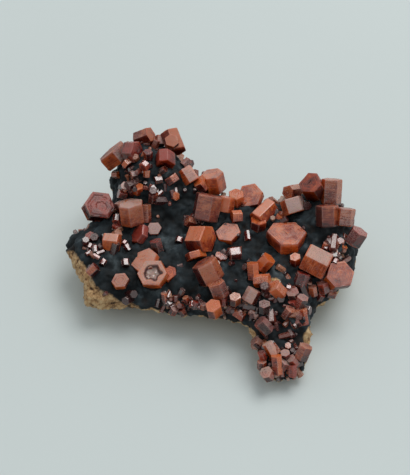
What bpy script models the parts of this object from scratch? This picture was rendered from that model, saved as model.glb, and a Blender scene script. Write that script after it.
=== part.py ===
"""Vanadinite on matrix: a lumpy plate of dark iron and manganese oxide with a spur at the front,
studded with six-sided vanadinite crystals. +Z is up, the origin is the centre of the flat broken
face that the specimen rests on, +X is its right and -Y its front. Metres and degrees.
"""

import math
import random

import bmesh
import bpy
from mathutils import Matrix, Vector, noise
from mathutils.bvhtree import BVHTree
from mathutils.geometry import delaunay_2d_cdt

MM = 0.001

# The rock plate
PLATE_TOP = 15.0 * MM  # usual height of the upper surface
RIM_ROUNDING = 7.0 * MM  # how far in from the rim the upper surface curves down
SHOULDER = 0.4  # how much of the rise above the widest line is the steep broken side
SHOULDER_INSET = 1.2 * MM
UNDERCUT = 12.0 * MM  # how far in from the rim the underside reaches its flat face
HEEL = 0.68  # height at which the underside leaves the broken side, as a share of the widest line
HEEL_INSET = 1.6 * MM
FRONT_SLOPE_START = -12.0 * MM
FRONT_SLOPE = 0.10
SPUR_START = -27.0 * MM  # the spur slopes down from here to its tip
SPUR_SLOPE = 0.42
LUMP_SIZE = 5.5 * MM
LUMP_HEIGHT = 1.0 * MM
ROUGHNESS = 0.6 * MM
CHIPPING = 0.35  # unevenness of the broken underside
TOP_SPACING = 2.7 * MM
UNDERSIDE_SPACING = 5.0 * MM
RIM_SPACING = 3.0 * MM

# The rim of the plate, clockwise from its left end: x, y and height of its widest line, in mm
RIM = (
    (-38, 2, 12), (-31, 9, 13), (-28, 14, 14), (-30, 21, 14), (-26, 28, 14), (-18, 33, 13),
    (-10, 31, 13), (-3, 24, 13), (3, 18, 12), (11, 14, 11), (17, 13, 11), (24, 15, 12),
    (30, 17, 13), (37, 15, 13), (43, 8, 13), (46, 0, 12), (45, -8, 11), (43, -13, 10),
    (38, -19, 9), (33, -22, 8), (30, -27, 7), (31, -31, 6), (29, -36, 5), (28, -41, 4),
    (25, -44, 3), (20, -45, 3), (16, -43, 3), (15, -38, 5), (13.5, -33, 6), (12, -28, 7),
    (7, -27, 7), (0, -26, 7), (-9, -24.5, 7), (-17, -23, 7), (-24, -22.5, 7), (-30, -23, 7),
    (-35, -22, 7.5), (-36, -15, 10), (-38.5, -11, 11), (-41.5, -5, 12), (-41, 0, 12),
)

# Swellings of the upper surface: x, y, radius across, radius deep and height, in mm
SWELLINGS = (
    (-18, 22, 14, 13, 12), (-12, 13, 12, 8, 4), (38, 2, 13, 13, 7), (-37, -6, 9, 12, 2),
    (10, 6, 12, 9, 3.5), (22, -20, 10, 8, 1),
)

# The specimen is laid out as it is seen from its display side, in front and above
DISPLAY_ELEVATION = 50.0
DISPLAY_DISTANCE = 300.0 * MM
DISPLAY_CENTRE = Vector((0, 0, 12.0 * MM))
HIGHEST_SEAT = 45.0 * MM

EMBEDDED = 0.3  # how much of its width a crystal's lowest corner sinks into the rock
GAP = 0.35 * MM  # clearance between a crystal and what it is seated against
BEVEL_ACROSS = 0.07  # the narrow pyramid faces at a crystal's ends, as a share of its width
BEVEL_ALONG = 0.06
UNEVENNESS = 0.10  # how much the six sides differ in distance from the axis

ORANGE = ("vanadinite_orange", (0.45, 0.10, 0.03))
RED = ("vanadinite_red", (0.26, 0.03, 0.02))
BROWN = ("vanadinite_brown", (0.33, 0.11, 0.05))

# Crystals by node: name, tint, then a row for each crystal that has grown into that solid. A row
# gives its place right of and above the display centre, its width and length in mm, the turn of
# its long axis (0 is to the right, 90 is up), how far its end faces the display side (90 is full
# on), and its spin about that axis.
CRYSTALS = (
    ("crystal_back_left_block", BROWN, (
        (-27, 24.4, 10, 4.5, 131, 15, -1),
    )),
    ("crystal_back_left_outer", ORANGE, (
        (-23.3, 22.2, 3.6, 1.9, 311, 12, 7),
    )),
    ("crystal_back_left_leaning", RED, (
        (-21.8, 25.5, 7.1, 4, 354, 34, 14),
    )),
    ("crystal_back_left_inner_small", RED, (
        (-17, 24.3, 3, 3.8, 87, 43, -23),
    )),
    ("crystals_back_left_top", BROWN, (
        (-18.3, 30.1, 5.1, 5.5, 17, 31, 1),
        (-17.8, 29.4, 4.2, 2, 70, 7, 26),
    )),
    ("crystals_back_left_rim", BROWN, (
        (-13.3, 29.1, 3.6, 3, 269, 10, 26),
        (-9.5, 28.6, 6.6, 7, 291, 17, 2),
        (-9.8, 28, 4.6, 6.5, 90, 75, 12),
    )),
    ("crystal_back_left_inner", RED, (
        (-12, 23.4, 6.1, 4.4, 273, 28, -24),
    )),
    ("crystal_back_ridge_low", ORANGE, (
        (-9.8, 17.5, 4.7, 2.4, 124, 7, -3),
    )),
    ("crystals_back_ridge", ORANGE, (
        (-5.1, 18.5, 5.3, 5, 303, 4, 12),
        (-1, 16, 5, 3.5, 130, 30, 0),
        (2.5, 16.7, 7.4, 6, 103, 30, 20),
    )),
    ("crystals_centre_block", BROWN, (
        (0.7, 9, 8.4, 7.8, 79, 7, 12),
        (-4.3, 4.7, 3.8, 3.4, 160, 30, 0),
    )),
    ("crystals_centre_ridge", ORANGE, (
        (6.3, 10, 5.2, 4.6, 82, 10, 20),
        (9.5, 11.3, 5.6, 4.5, 95, 38, 0),
        (13.6, 12.2, 8.4, 4, 120, 68, 10),
        (11.5, 10, 2.5, 2, 90, 20, 0),
    )),
    ("crystals_centre_tablet", ORANGE, (
        (9.4, 6.2, 3.9, 3.2, 184, 18, 21),
        (7, 1, 7.5, 3, 100, 55, 10),
    )),
    ("crystals_centre_pair", ORANGE, (
        (-1.4, -0.5, 8.6, 6, 0, 36, -1),
        (-2.8, -5.4, 6.4, 2.2, 286, 11, -29),
    )),
    ("crystals_front_centre", BROWN, (
        (0.9, -10.2, 8.2, 6.2, 117, 14, 28),
        (4, -15.6, 5.4, 4.6, 112, 18, 10),
    )),
    ("crystal_front_edge", ORANGE, (
        (2.7, -21.6, 5, 3.6, 105, 45, 0),
    )),
    ("crystal_left_tablet", RED, (
        (-31.8, 9.1, 9.8, 5.9, 39, 67, 17),
    )),
    ("crystals_left_block", BROWN, (
        (-21.9, 7.4, 8, 6.4, 96, 24, 0),
        (-24.3, 8.8, 4.6, 4.6, 110, 15, 25),
        (-17.5, 7.3, 3, 5.5, 92, 10, 20),
    )),
    ("crystals_left_pair", RED, (
        (-15.3, 2.4, 4.6, 2.9, 77, 72, -14),
        (-19.6, 0.8, 7, 2.3, 151, 28, 15),
    )),
    ("crystal_left_low", RED, (
        (-14.3, -2.6, 4, 3.8, 105, 20, 0),
    )),
    ("crystal_left_stub", ORANGE, (
        (-27.9, -1.5, 6.2, 4.6, -5, 10, 0),
    )),
    ("crystal_left_corner", RED, (
        (-34.4, 0.2, 3.2, 1.6, 118, 48, -29),
    )),
    ("crystals_hopper", ORANGE, (
        (-15.6, -11, 9.2, 4.2, 115, 68, 3),
        (-18.2, -7.4, 8.8, 2.5, 124, 46, 14),
        (-11, -11, 5.6, 2, 100, 55, 0),
    )),
    ("crystal_front_left_tablet", BROWN, (
        (-25.3, -13.2, 5.2, 2.4, 95, 66, 30),
    )),
    ("crystal_right_tablet", ORANGE, (
        (24.6, 0, 12.2, 4.2, 92, 40, 30),
    )),
    ("crystal_right_inner", BROWN, (
        (26.3, 9.4, 7.4, 4.7, 286, 5, -29),
    )),
    ("crystal_right_inner_back", BROWN, (
        (26.3, 13.8, 4.8, 4.9, 190, 45, 3),
    )),
    ("crystal_right_back", ORANGE, (
        (32.8, 14.3, 7.5, 8.9, 132, 56, -22),
    )),
    ("crystal_right_back_outer", BROWN, (
        (37.8, 13.8, 6.2, 7.6, 88, 10, 20),
    )),
    ("crystals_right_pair", BROWN, (
        (36.6, 6.5, 6.8, 6.2, 92, 8, 26),
        (42, 6.2, 6, 5.2, 85, 8, 25),
    )),
    ("crystal_right_end", RED, (
        (45.3, 0.2, 5.4, 4.6, 60, 25, 0),
    )),
    ("crystals_right_front", ORANGE, (
        (33.3, -7.2, 9.6, 7.4, -27, 5, 0),
        (40.1, -11.4, 9.2, 3.6, 60, 70, 10),
        (27, -7, 3.5, 4, 95, 50, 0),
    )),
    ("crystal_right_low", RED, (
        (29, -12.5, 4, 4, 72, 12, 20),
    )),
    ("crystals_front_middle", ORANGE, (
        (18, -7.6, 4.8, 4.4, 50, 25, 0),
        (14.5, -10, 3.8, 5, 95, 10, 0),
        (17.2, -13, 4.2, 4.6, 5, 20, 20),
        (21.8, -15.7, 4.7, 4.2, 135, 25, 0),
    )),
    ("crystals_centre_prism", ORANGE, (
        (17.7, 7.4, 5.8, 7.4, 223, 25, 0),
        (16, 4.1, 5.5, 2.9, 83, 36, 6),
    )),
    ("crystals_spur_root", RED, (
        (26.6, -17.6, 4, 3.4, 110, 35, 0),
        (28.8, -19.3, 3.8, 3.6, 70, 30, 0),
        (26.4, -20, 2.6, 2.6, 120, 30, 0),
    )),
    ("crystal_spur_shoulder", BROWN, (
        (14, -17.5, 4.4, 4.2, 62, 5, 30),
    )),
    ("crystal_spur_left_upper", RED, (
        (17.7, -21, 3.6, 3, 90, 40, 0),
    )),
    ("crystal_spur_left", RED, (
        (17.7, -26.6, 4, 4.4, 130, 15, 20),
    )),
    ("crystals_spur_tip", ORANGE, (
        (19.7, -33.6, 3.2, 4.4, 120, 8, 30),
        (21.6, -38.2, 3.5, 5.6, 95, 12, 0),
        (18.7, -41, 4.2, 2.8, 130, 45, 0),
    )),
    ("crystal_spur_right", BROWN, (
        (29.6, -34.5, 4.4, 4.4, 68, 18, 0),
    )),
    ("crystals_spur_end", RED, (
        (24.2, -35.6, 3, 3, 100, 40, 0),
        (23.6, -38.2, 3.2, 2.8, 60, 30, 0),
        (26.4, -37.2, 3, 3, 130, 30, 0),
        (26.2, -39.8, 3, 3.6, 92, 12, 0),
    )),
)

# Small crystals that are grown into the rock's crust, in rows of the same kind
SMALL_CRYSTALS = (
    (-26.6, 18.8, 2.5, 2.6, 354, 44, -21),
    (-5.6, 22.2, 3, 2.9, 223, 14, 11),
    (-21.3, 18.7, 3.1, 2, 195, 16, -18),
    (-17.4, 19.2, 2.5, 2.2, 88, 18, -22),
    (-18, 22, 2.4, 2, 60, 50, 30),
    (-24.4, 14.6, 2.9, 4.3, 60, 61, -12),
    (-20.3, 14.5, 3.9, 2.5, 90, 48, -1),
    (-24.8, 13, 3.4, 2.6, 170, 20, 0),
    (-15.6, 12, 3.2, 3, 80, 30, 0),
    (-9.2, 12.5, 2.8, 2.6, 351, 57, -22),
    (-16, 15, 2.2, 2, 60, 30, 0),
    (-12.6, 20.2, 2.4, 2, 30, 30, 0),
    (4.7, -6.2, 3.8, 2.6, 75, 45, 0),
    (5.6, -19.2, 2.6, 2.5, 95, 20, 30),
    (9, -18.6, 3.6, 3.2, 90, 50, 10),
    (10.3, -23.3, 3.2, 3.4, -32, 20, 0),
    (7.7, -21.4, 2.4, 2.4, 60, 30, 0),
    (9.5, -4.5, 3.4, 3.2, 5, 12, 30),
    (-26.5, 6, 2.2, 2.2, 90, 12, 30),
    (-26.5, 3, 3.2, 2.5, 80, 40, 0),
    (-33.6, -9.8, 3.2, 3.2, 42, 12, 30),
    (22, 5.5, 2.6, 2.6, 60, 20, 0),
    (40.5, -1.4, 2.4, 2, 90, 60, 0),
    (39.3, -5, 2.8, 2.2, 90, 60, 0),
    (41.5, -3.4, 2, 2, 60, 30, 0),
    (38.3, -6.9, 1.8, 1.8, 90, 40, 0),
    (36, -2.6, 2, 2.2, 70, 30, 0),
    (38.2, -14.8, 3.2, 2.2, 160, 40, 0),
    (35.4, -14.8, 3.8, 3.4, 105, 25, 0),
    (32.4, -16, 2.8, 3, 100, 25, 0),
    (37.8, -17, 2.8, 2.6, 170, 15, 0),
    (34.6, -18, 2.4, 2.2, 60, 30, 0),
    (25, -22.6, 3.8, 3.2, 60, 30, 0),
    (29.6, -23.8, 2.8, 4.6, 98, 10, 0),
    (27.6, -25.8, 3, 2.8, 30, 25, 0),
    (15.9, -31.7, 3.2, 3.2, 140, 25, 0),
    (17, -38.2, 2.8, 2.6, 90, 30, 20),
    (17.2, -35.4, 2.6, 2.4, 110, 30, 0),
    (24.9, -32.8, 2, 2, 90, 60, 0),
    (-12, -18.2, 2.4, 3.4, 100, 20, 0),
    (-9.4, -22, 2.8, 2.4, 60, 40, 0),
    (-6.8, -22.4, 2.4, 2.2, 120, 30, 0),
    (-5.6, -18.8, 2.2, 2.2, 110, 30, 0),
    (-3, -20.2, 2.2, 2.4, 70, 20, 0),
    (-0.6, -20.6, 2, 2, 90, 40, 0),
)


def rim_points():
    """The rim as points about RIM_SPACING apart, with the height of the widest line at each."""
    points = []
    for start, end in zip(RIM, RIM[1:] + RIM[:1]):
        start = Vector(start) * MM
        end = Vector(end) * MM
        steps = max(1, round((end - start).to_2d().length / RIM_SPACING))
        points.extend(start.lerp(end, step / steps) for step in range(steps))
    return points


def rim_distance(x, y, rim):
    """How far a point lies inside the rim (negative outside), and the widest line's height there."""
    point = Vector((x, y))
    nearest = None
    inside = False
    for start, end in zip(rim, rim[1:] + rim[:1]):
        edge = (end - start).to_2d()
        along = (point - start.to_2d()).dot(edge) / edge.length_squared
        along = min(1.0, max(0.0, along))
        foot = start.lerp(end, along)
        gap = (point - foot.to_2d()).length
        if nearest is None or gap < nearest[0]:
            nearest = (gap, foot.z)
        if (start.y > y) != (end.y > y):
            crossing = start.x + (y - start.y) / (end.y - start.y) * (end.x - start.x)
            inside = inside != (x < crossing)
    return (nearest[0] if inside else -nearest[0]), nearest[1]


def plate_height(x, y):
    """Upper surface away from the rim, without its lumps."""
    height = PLATE_TOP
    for cx, cy, rx, ry, rise in SWELLINGS:
        spread = ((x - cx * MM) / (rx * MM)) ** 2 + ((y - cy * MM) / (ry * MM)) ** 2
        height += rise * MM * math.exp(-spread)
    height -= FRONT_SLOPE * max(0.0, FRONT_SLOPE_START - y)
    height -= SPUR_SLOPE * max(0.0, SPUR_START - y)
    return height


def upper_surface(x, y, rim):
    """Upper surface with the rim rounded off."""
    inside, widest = rim_distance(x, y, rim)
    rounding = 1.0 - max(0.0, inside - SHOULDER_INSET) / RIM_ROUNDING
    share = 1.0 - (1.0 - SHOULDER) * max(0.0, rounding) ** 2
    return widest + (plate_height(x, y) - widest) * share


def lumps(x, y):
    """Rounded knobs with a finer roughness between them."""
    place = Vector((x, y, 0.0)) / LUMP_SIZE
    nearest = noise.voronoi(place)[0][0]
    knob = LUMP_HEIGHT * (0.5 - nearest * nearest)
    return knob + ROUGHNESS * noise.fractal(place * 1.7, 0.6, 2.1, 3)


def underside(x, y, rim):
    """Broken underside: a flat resting face that rises to the widest line near the rim."""
    inside, widest = rim_distance(x, y, rim)
    share = 1.0 - min(1.0, max(0.0, inside - HEEL_INSET) / UNDERCUT)
    chips = 1.0 + CHIPPING * noise.noise(Vector((x, y, 0.0)) / LUMP_SIZE)
    return HEEL * widest * chips * share ** 1.5


def scattered_points(rim, spacing, margin, rng):
    """Points on a jittered grid that lie at least margin inside the rim."""
    low_x = min(point.x for point in rim)
    high_x = max(point.x for point in rim)
    low_y = min(point.y for point in rim)
    high_y = max(point.y for point in rim)
    points = []
    row = 0
    y = low_y
    while y < high_y:
        x = low_x + (0.5 * spacing if row % 2 else 0.0)
        while x < high_x:
            px = x + rng.uniform(-0.25, 0.25) * spacing
            py = y + rng.uniform(-0.25, 0.25) * spacing
            if rim_distance(px, py, rim)[0] > margin:
                points.append(Vector((px, py)))
            x += spacing
        y += spacing * math.sqrt(0.75)
        row += 1
    return points


def add_sheet(mesh, rim, rim_verts, inner, height, faces_up):
    """One surface of the plate, triangulated between the rim and its inner points."""
    outline = [point.to_2d() for point in rim]
    ring = list(range(len(outline)))
    edges = list(zip(ring, ring[1:] + ring[:1]))
    _, _, triangles, *_ = delaunay_2d_cdt(outline + inner, edges, [ring], 1, 1e-7)
    verts = list(rim_verts)
    verts.extend(mesh.verts.new((point.x, point.y, height(point.x, point.y))) for point in inner)
    for triangle in triangles:
        corners = [verts[index] for index in triangle]
        face = mesh.faces.new(corners)
        face.normal_update()
        if (face.normal.z > 0) != faces_up:
            face.normal_flip()


def inset_ring(rim, inset, height, rng):
    """The rim moved inward, as a chipped edge at the height that a function gives."""
    ring = []
    for before, point, after in zip(rim[-1:] + rim[:-1], rim, rim[1:] + rim[:1]):
        along = (after - before).to_2d().normalized()
        inward = Vector((along.y, -along.x))
        place = point.to_2d() + inward * inset * rng.uniform(0.6, 1.4)
        ring.append(Vector((place.x, place.y, height(place.x, place.y))))
    return ring


def build_rock():
    """The plate with its spur, as one closed mesh."""
    rim = rim_points()
    rng = random.Random(7)
    mesh = bmesh.new()

    def top(x, y):
        return upper_surface(x, y, rim) + lumps(x, y)

    def bottom(x, y):
        return underside(x, y, rim)

    shoulder = inset_ring(rim, SHOULDER_INSET, top, rng)
    heel = inset_ring(rim, HEEL_INSET, bottom, rng)
    rings = [[mesh.verts.new(point) for point in ring] for ring in (heel, rim, shoulder)]
    for lower, upper in zip(rings, rings[1:]):
        for index in range(len(rim)):
            mesh.faces.new((lower[index - 1], lower[index], upper[index], upper[index - 1]))
    top_points = scattered_points(shoulder, TOP_SPACING, 0.35 * TOP_SPACING, rng)
    low_points = scattered_points(heel, UNDERSIDE_SPACING, 0.3 * UNDERSIDE_SPACING, rng)
    add_sheet(mesh, shoulder, rings[2], top_points, top, True)
    add_sheet(mesh, heel, rings[0], low_points, bottom, False)
    return mesh_object("matrix", mesh)


def mesh_object(name, mesh):
    """A new object in the scene from a bmesh, with its normals outward."""
    bmesh.ops.recalc_face_normals(mesh, faces=mesh.faces)
    data = bpy.data.meshes.new(name)
    mesh.to_mesh(data)
    mesh.free()
    obj = bpy.data.objects.new(name, data)
    bpy.context.collection.objects.link(obj)
    return obj


def display_frame():
    """The display side's right, up and toward-the-viewer directions."""
    tilt = math.radians(DISPLAY_ELEVATION)
    right = Vector((1.0, 0.0, 0.0))
    up = Vector((0.0, math.sin(tilt), math.cos(tilt)))
    toward = Vector((0.0, -math.cos(tilt), math.sin(tilt)))
    return right, up, toward


def crystal_frame(turn, facing, spin):
    """Rotation that carries +Z to a crystal's long axis."""
    right, up, toward = display_frame()
    turn = math.radians(turn)
    facing = math.radians(facing)
    lean = right * math.cos(turn) + up * math.sin(turn)
    axis = lean * math.cos(facing) + toward * math.sin(facing)
    side = toward * math.cos(facing) - lean * math.sin(facing)
    other = axis.cross(side)
    return Matrix((side, other, axis)).transposed() @ Matrix.Rotation(math.radians(spin), 3, "Z")


def seat(right_mm, up_mm, width, length, rotation):
    """Where a crystal's centre lies: along the line of sight, until its lowest corner is embedded."""
    right, up, toward = display_frame()
    eye = DISPLAY_CENTRE + toward * DISPLAY_DISTANCE
    aim = DISPLAY_CENTRE + right * right_mm * MM + up * up_mm * MM
    sight = (aim - eye).normalized()
    corners = []
    for end in (-0.5, 0.5):
        for side in range(6):
            angle = math.radians(60 * side)
            spread = Vector((math.cos(angle) * width / 2, math.sin(angle) * width / 2, end * length))
            corners.append(rotation @ spread)
    travel = (HIGHEST_SEAT - eye.z) / sight.z
    while travel < 2 * DISPLAY_DISTANCE:
        centre = eye + sight * travel
        clear = min((centre + corner).z - plate_height((centre + corner).x, (centre + corner).y)
                    for corner in corners)
        if clear <= -EMBEDDED * width:
            return centre
        travel += 0.25 * MM
    return centre


def crystal_mesh(row, grow, rng):
    """A six-sided prism with narrow bevelled ends, grown outward by a clearance."""
    right_mm, up_mm, width, length, turn, facing, spin = row
    width *= MM
    length *= MM
    rotation = crystal_frame(turn, facing, spin)
    centre = seat(right_mm, up_mm, width, length, rotation)
    reach = width / 2 * math.cos(math.radians(30))
    walls = [reach * (1 + rng.uniform(-UNEVENNESS, UNEVENNESS)) + grow for _ in range(6)]
    ends = (length / 2 + grow, -length / 2 - grow)
    levels = (
        (ends[1], BEVEL_ACROSS * reach), (ends[1] + BEVEL_ALONG * width, 0.0),
        (ends[0] - BEVEL_ALONG * width, 0.0), (ends[0], BEVEL_ACROSS * reach),
    )
    mesh = bmesh.new()
    rings = []
    for height, inset in levels:
        ring = []
        for side in range(6):
            before = walls[side - 1] - inset
            after = walls[side] - inset
            corner = wall_corner(60 * side - 30, before, after)
            place = centre + rotation @ Vector((corner.x, corner.y, height))
            ring.append(mesh.verts.new(place))
        rings.append(ring)
    for lower, upper in zip(rings, rings[1:]):
        for side in range(6):
            following = (side + 1) % 6
            mesh.faces.new((lower[side], lower[following], upper[following], upper[side]))
    mesh.faces.new(rings[0][::-1])
    mesh.faces.new(rings[-1])
    return mesh


def wall_corner(angle, before, after):
    """Where two neighbouring walls meet: their normals are at angle and at angle + 60 degrees."""
    first = math.radians(angle)
    second = math.radians(angle + 60)
    turn = math.sin(second - first)
    x = (before * math.sin(second) - after * math.sin(first)) / turn
    y = (after * math.cos(first) - before * math.cos(second)) / turn
    return Vector((x, y))


def combine(target, tool, operation):
    """Joins or cuts target with tool, which is then removed."""
    cut = target.modifiers.new("combine", "BOOLEAN")
    cut.operation = operation
    cut.solver = "EXACT"
    cut.object = tool
    depsgraph = bpy.context.evaluated_depsgraph_get()
    result = bpy.data.meshes.new_from_object(target.evaluated_get(depsgraph))
    target.modifiers.remove(cut)
    target.data = result
    bpy.data.objects.remove(tool)


def crystal_tools(rows, seed, grow):
    """One object for each row's crystal."""
    tools = []
    for index, row in enumerate(rows):
        rng = random.Random(seed * 100 + index)
        tools.append(mesh_object("crystal_tool", crystal_mesh(row, grow, rng)))
    return tools


def touching(first, second):
    """Whether the surfaces of two objects cross."""
    trees = []
    for obj in (first, second):
        verts = [vertex.co for vertex in obj.data.vertices]
        trees.append(BVHTree.FromPolygons(verts, [list(face.vertices) for face in obj.data.polygons]))
    return bool(trees[0].overlap(trees[1]))


def keep_largest_piece(obj):
    """Removes what a cut has left loose, keeping the piece with the most surface."""
    mesh = bmesh.new()
    mesh.from_mesh(obj.data)
    left = set(mesh.faces)
    pieces = []
    while left:
        stack = [left.pop()]
        piece = set(stack)
        while stack:
            for edge in stack.pop().edges:
                for face in edge.link_faces:
                    if face in left:
                        left.remove(face)
                        piece.add(face)
                        stack.append(face)
        pieces.append(piece)
    pieces.sort(key=lambda piece: sum(face.calc_area() for face in piece))
    loose = [face for piece in pieces[:-1] for face in piece]
    bmesh.ops.delete(mesh, geom=loose, context="FACES")
    bmesh.ops.dissolve_degenerate(mesh, dist=1e-6, edges=mesh.edges)
    mesh.to_mesh(obj.data)
    mesh.free()


def grown_copy(obj, distance):
    """A copy of an object pushed outward along its normals."""
    copy = bpy.data.objects.new("grown_rock", obj.data.copy())
    bpy.context.collection.objects.link(copy)
    normals = [vertex.normal.copy() for vertex in copy.data.vertices]
    for vertex, normal in zip(copy.data.vertices, normals):
        vertex.co += normal * distance
    return copy


def coat(obj, name, colour, roughness):
    """Gives an object one mineral as its material."""
    mineral = bpy.data.materials.get(name) or bpy.data.materials.new(name)
    mineral.use_nodes = True
    shader = mineral.node_tree.nodes["Principled BSDF"]
    shader.inputs["Base Color"].default_value = (*colour, 1.0)
    shader.inputs["Roughness"].default_value = roughness
    shader.inputs["Metallic"].default_value = 0.0
    obj.data.materials.clear()
    obj.data.materials.append(mineral)


def build_crystals(bare_rock):
    """Each crystal solid, cut where it meets the rock, its small crystals and its neighbours."""
    finished = []
    for number, (name, tint, rows) in enumerate(CRYSTALS):
        tools = crystal_tools(rows, number, 0.0)
        solid = tools[0]
        solid.name = name
        for tool in tools[1:]:
            combine(solid, tool, "UNION")
        cutters = [grown_copy(bare_rock, GAP)]
        cutters.extend(crystal_tools(SMALL_CRYSTALS, len(CRYSTALS), GAP))
        for earlier, earlier_rows in finished:
            cutters.extend(crystal_tools(earlier_rows, earlier, GAP))
        for cutter in cutters:
            if touching(solid, cutter):
                combine(solid, cutter, "DIFFERENCE")
            else:
                bpy.data.objects.remove(cutter)
        keep_largest_piece(solid)
        coat(solid, tint[0], tint[1], 0.35)
        finished.append((number, rows))


def main():
    for obj in list(bpy.data.objects):
        bpy.data.objects.remove(obj)
    rock = build_rock()
    build_crystals(rock)
    for tool in crystal_tools(SMALL_CRYSTALS, len(CRYSTALS), 0.0):
        combine(rock, tool, "UNION")
    keep_largest_piece(rock)
    coat(rock, "iron_manganese_matrix", (0.02, 0.025, 0.03), 0.8)


main()
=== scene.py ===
"""Vanadinite on matrix: the looks of the specimen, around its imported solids."""

import math
import random
from collections import namedtuple

import bmesh
import bpy
import numpy as np
from mathutils import Matrix, Vector, noise


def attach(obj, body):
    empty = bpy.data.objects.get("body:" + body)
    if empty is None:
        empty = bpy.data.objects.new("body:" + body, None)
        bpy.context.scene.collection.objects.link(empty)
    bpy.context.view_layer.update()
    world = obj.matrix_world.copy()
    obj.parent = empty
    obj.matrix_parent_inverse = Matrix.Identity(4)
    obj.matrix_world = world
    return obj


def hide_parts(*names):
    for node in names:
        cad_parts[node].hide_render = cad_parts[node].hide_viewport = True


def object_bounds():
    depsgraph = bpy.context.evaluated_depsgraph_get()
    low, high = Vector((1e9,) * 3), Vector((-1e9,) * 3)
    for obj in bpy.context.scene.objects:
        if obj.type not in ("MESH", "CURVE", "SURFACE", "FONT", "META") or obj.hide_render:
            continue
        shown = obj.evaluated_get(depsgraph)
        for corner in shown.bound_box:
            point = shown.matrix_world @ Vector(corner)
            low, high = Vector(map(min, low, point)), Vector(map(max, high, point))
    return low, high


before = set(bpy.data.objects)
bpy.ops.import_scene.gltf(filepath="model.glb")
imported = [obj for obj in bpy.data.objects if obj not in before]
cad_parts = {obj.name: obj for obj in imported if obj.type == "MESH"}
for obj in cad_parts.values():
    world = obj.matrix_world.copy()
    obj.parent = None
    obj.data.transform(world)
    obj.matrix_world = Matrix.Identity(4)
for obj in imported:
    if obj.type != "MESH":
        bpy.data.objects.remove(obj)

# Lengths are in metres, or in mm in the tables and where a name ends in _MM. Angles in the tables
# are in degrees.
MM = 0.001
solid_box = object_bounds()


# ---------------------------------------------------------------------------------------------
# The matrix: a broken plate of limonite under a crust of manganese and iron oxides. The crust
# grew as soft-looking knobs on the upper side; the left side and the underside are bare breaks.
# ---------------------------------------------------------------------------------------------
SKIN_GRAIN = 0.48 * MM
SKIN_SOFTENING = 10
RESTING_BAND = 0.3 * MM

# Relief: across and how high, for the crust's large and small knobs and for the lumps and the
# grain of the breaks
KNOB_SIZES_MM = (3.6, 1.4)
KNOB_RISES_MM = (1.6, 0.9)
BREAK_SIZE_MM = 2.6
BREAK_RISES_MM = (1.7, 2.6)

# The crust's foot round each crystal, and its drop inside one. A crystal's walls, and the band in
# which the crust drops, are shares of the crystal's width.
FOOT_WIDTH_MM = 1.6
FOOT_RISE = 0.7 * MM
FOOT_LEAST_SLOPE = 0.2
BURIED_DROP = 0.9 * MM
WALL_SHARE = 0.46
BURIED_SHARE = 0.12

# The display side looks down at the specimen from the front
DISPLAY_TILT = math.radians(50.0)
DISPLAY_DISTANCE = 300.0 * MM
DISPLAY_CENTRE = Vector((0, 0, 12.0 * MM))
RIGHT = Vector((1.0, 0.0, 0.0))
UP = Vector((0.0, math.sin(DISPLAY_TILT), math.cos(DISPLAY_TILT)))
TOWARD = Vector((0.0, -math.cos(DISPLAY_TILT), math.sin(DISPLAY_TILT)))
EYE = DISPLAY_CENTRE + TOWARD * DISPLAY_DISTANCE

# Bare limonite: x, y, z and reach of each patch, in mm
BARE_PATCHES = (
    (-43, -7, 7, 7.5), (-41, -13, 9, 11), (-38, -19, 8, 12), (-31, -25, 6, 11), (-23, -26, 5, 8),
    (-15, -26, 4, 6.5), (32, -33, 7, 6), (12, -32, 6, 4), (20, -20, 13, 4.5),
)

# The share of a patch's reach in which it is fully bare
BARE_FULL_WITHIN = 0.375

# Where small crystals crowd the crust: place right of and above the display centre, reach in mm
# and crowding from 0 to 1
DRUSE_PATCHES = (
    (-19, 17, 8, 0.7), (-14, 14, 4, 0.9), (-9.5, 13, 4, 0.4), (-33.5, -3, 4.5, 0.8),
    (-27, -1, 6, 0.5), (-33, -8, 3, 0.4), (-11, -19.5, 5, 1.0), (-3.5, -20, 4, 0.9),
    (8, -20, 6, 1.0), (21, -25, 6, 0.8), (23, -37, 9, 1.0), (39, -3, 6, 0.8), (35, -16, 6, 1.0),
    (22, -16, 8, 0.8), (22, 6, 4, 0.5), (-21, 26, 9, 0.5), (3, -11, 4, 0.4), (-5, 5, 4, 0.3),
    (28, -23, 4, 0.8), (14, -22, 6, 1.0), (20, -17, 6, 1.0), (27, -17, 5, 1.0), (18, -30, 5, 0.9),
    (27, -31, 5, 0.9), (20, -39, 5, 1.0), (27, -38, 5, 1.0),
)

# The share of a patch's reach in which it is fully crowded, and the crowding elsewhere: the least,
# what faces back, and how much is lost where the limonite is bare
CROWD_FULL_WITHIN = 1 / 3
LEAST_CROWD = 0.06
CROWD_BEHIND = 0.45
CROWD_LOST_WHERE_BARE = 0.9

# The rock's upper surface without its lumps, and how much of its width a crystal is sunk in it
PLATE_TOP = 15.0 * MM
FRONT_SLOPE_START = -12.0 * MM
FRONT_SLOPE = 0.10
SPUR_START = -27.0 * MM
SPUR_SLOPE = 0.42
HIGHEST_SEAT = 45.0 * MM
SEAT_STEP = 0.25 * MM
EMBEDDED = 0.3

# Swellings of the rock under the crystals: x, y, radius across, radius deep and height, in mm
SWELLINGS = (
    (-18, 22, 14, 13, 12), (-12, 13, 12, 8, 4), (38, 2, 13, 13, 7), (-37, -6, 9, 12, 2),
    (10, 6, 12, 9, 3.5), (22, -20, 10, 8, 1),
)

# The three tints of the vanadinite
ORANGE = "vanadinite_orange"
RED = "vanadinite_red"
BROWN = "vanadinite_brown"

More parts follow.
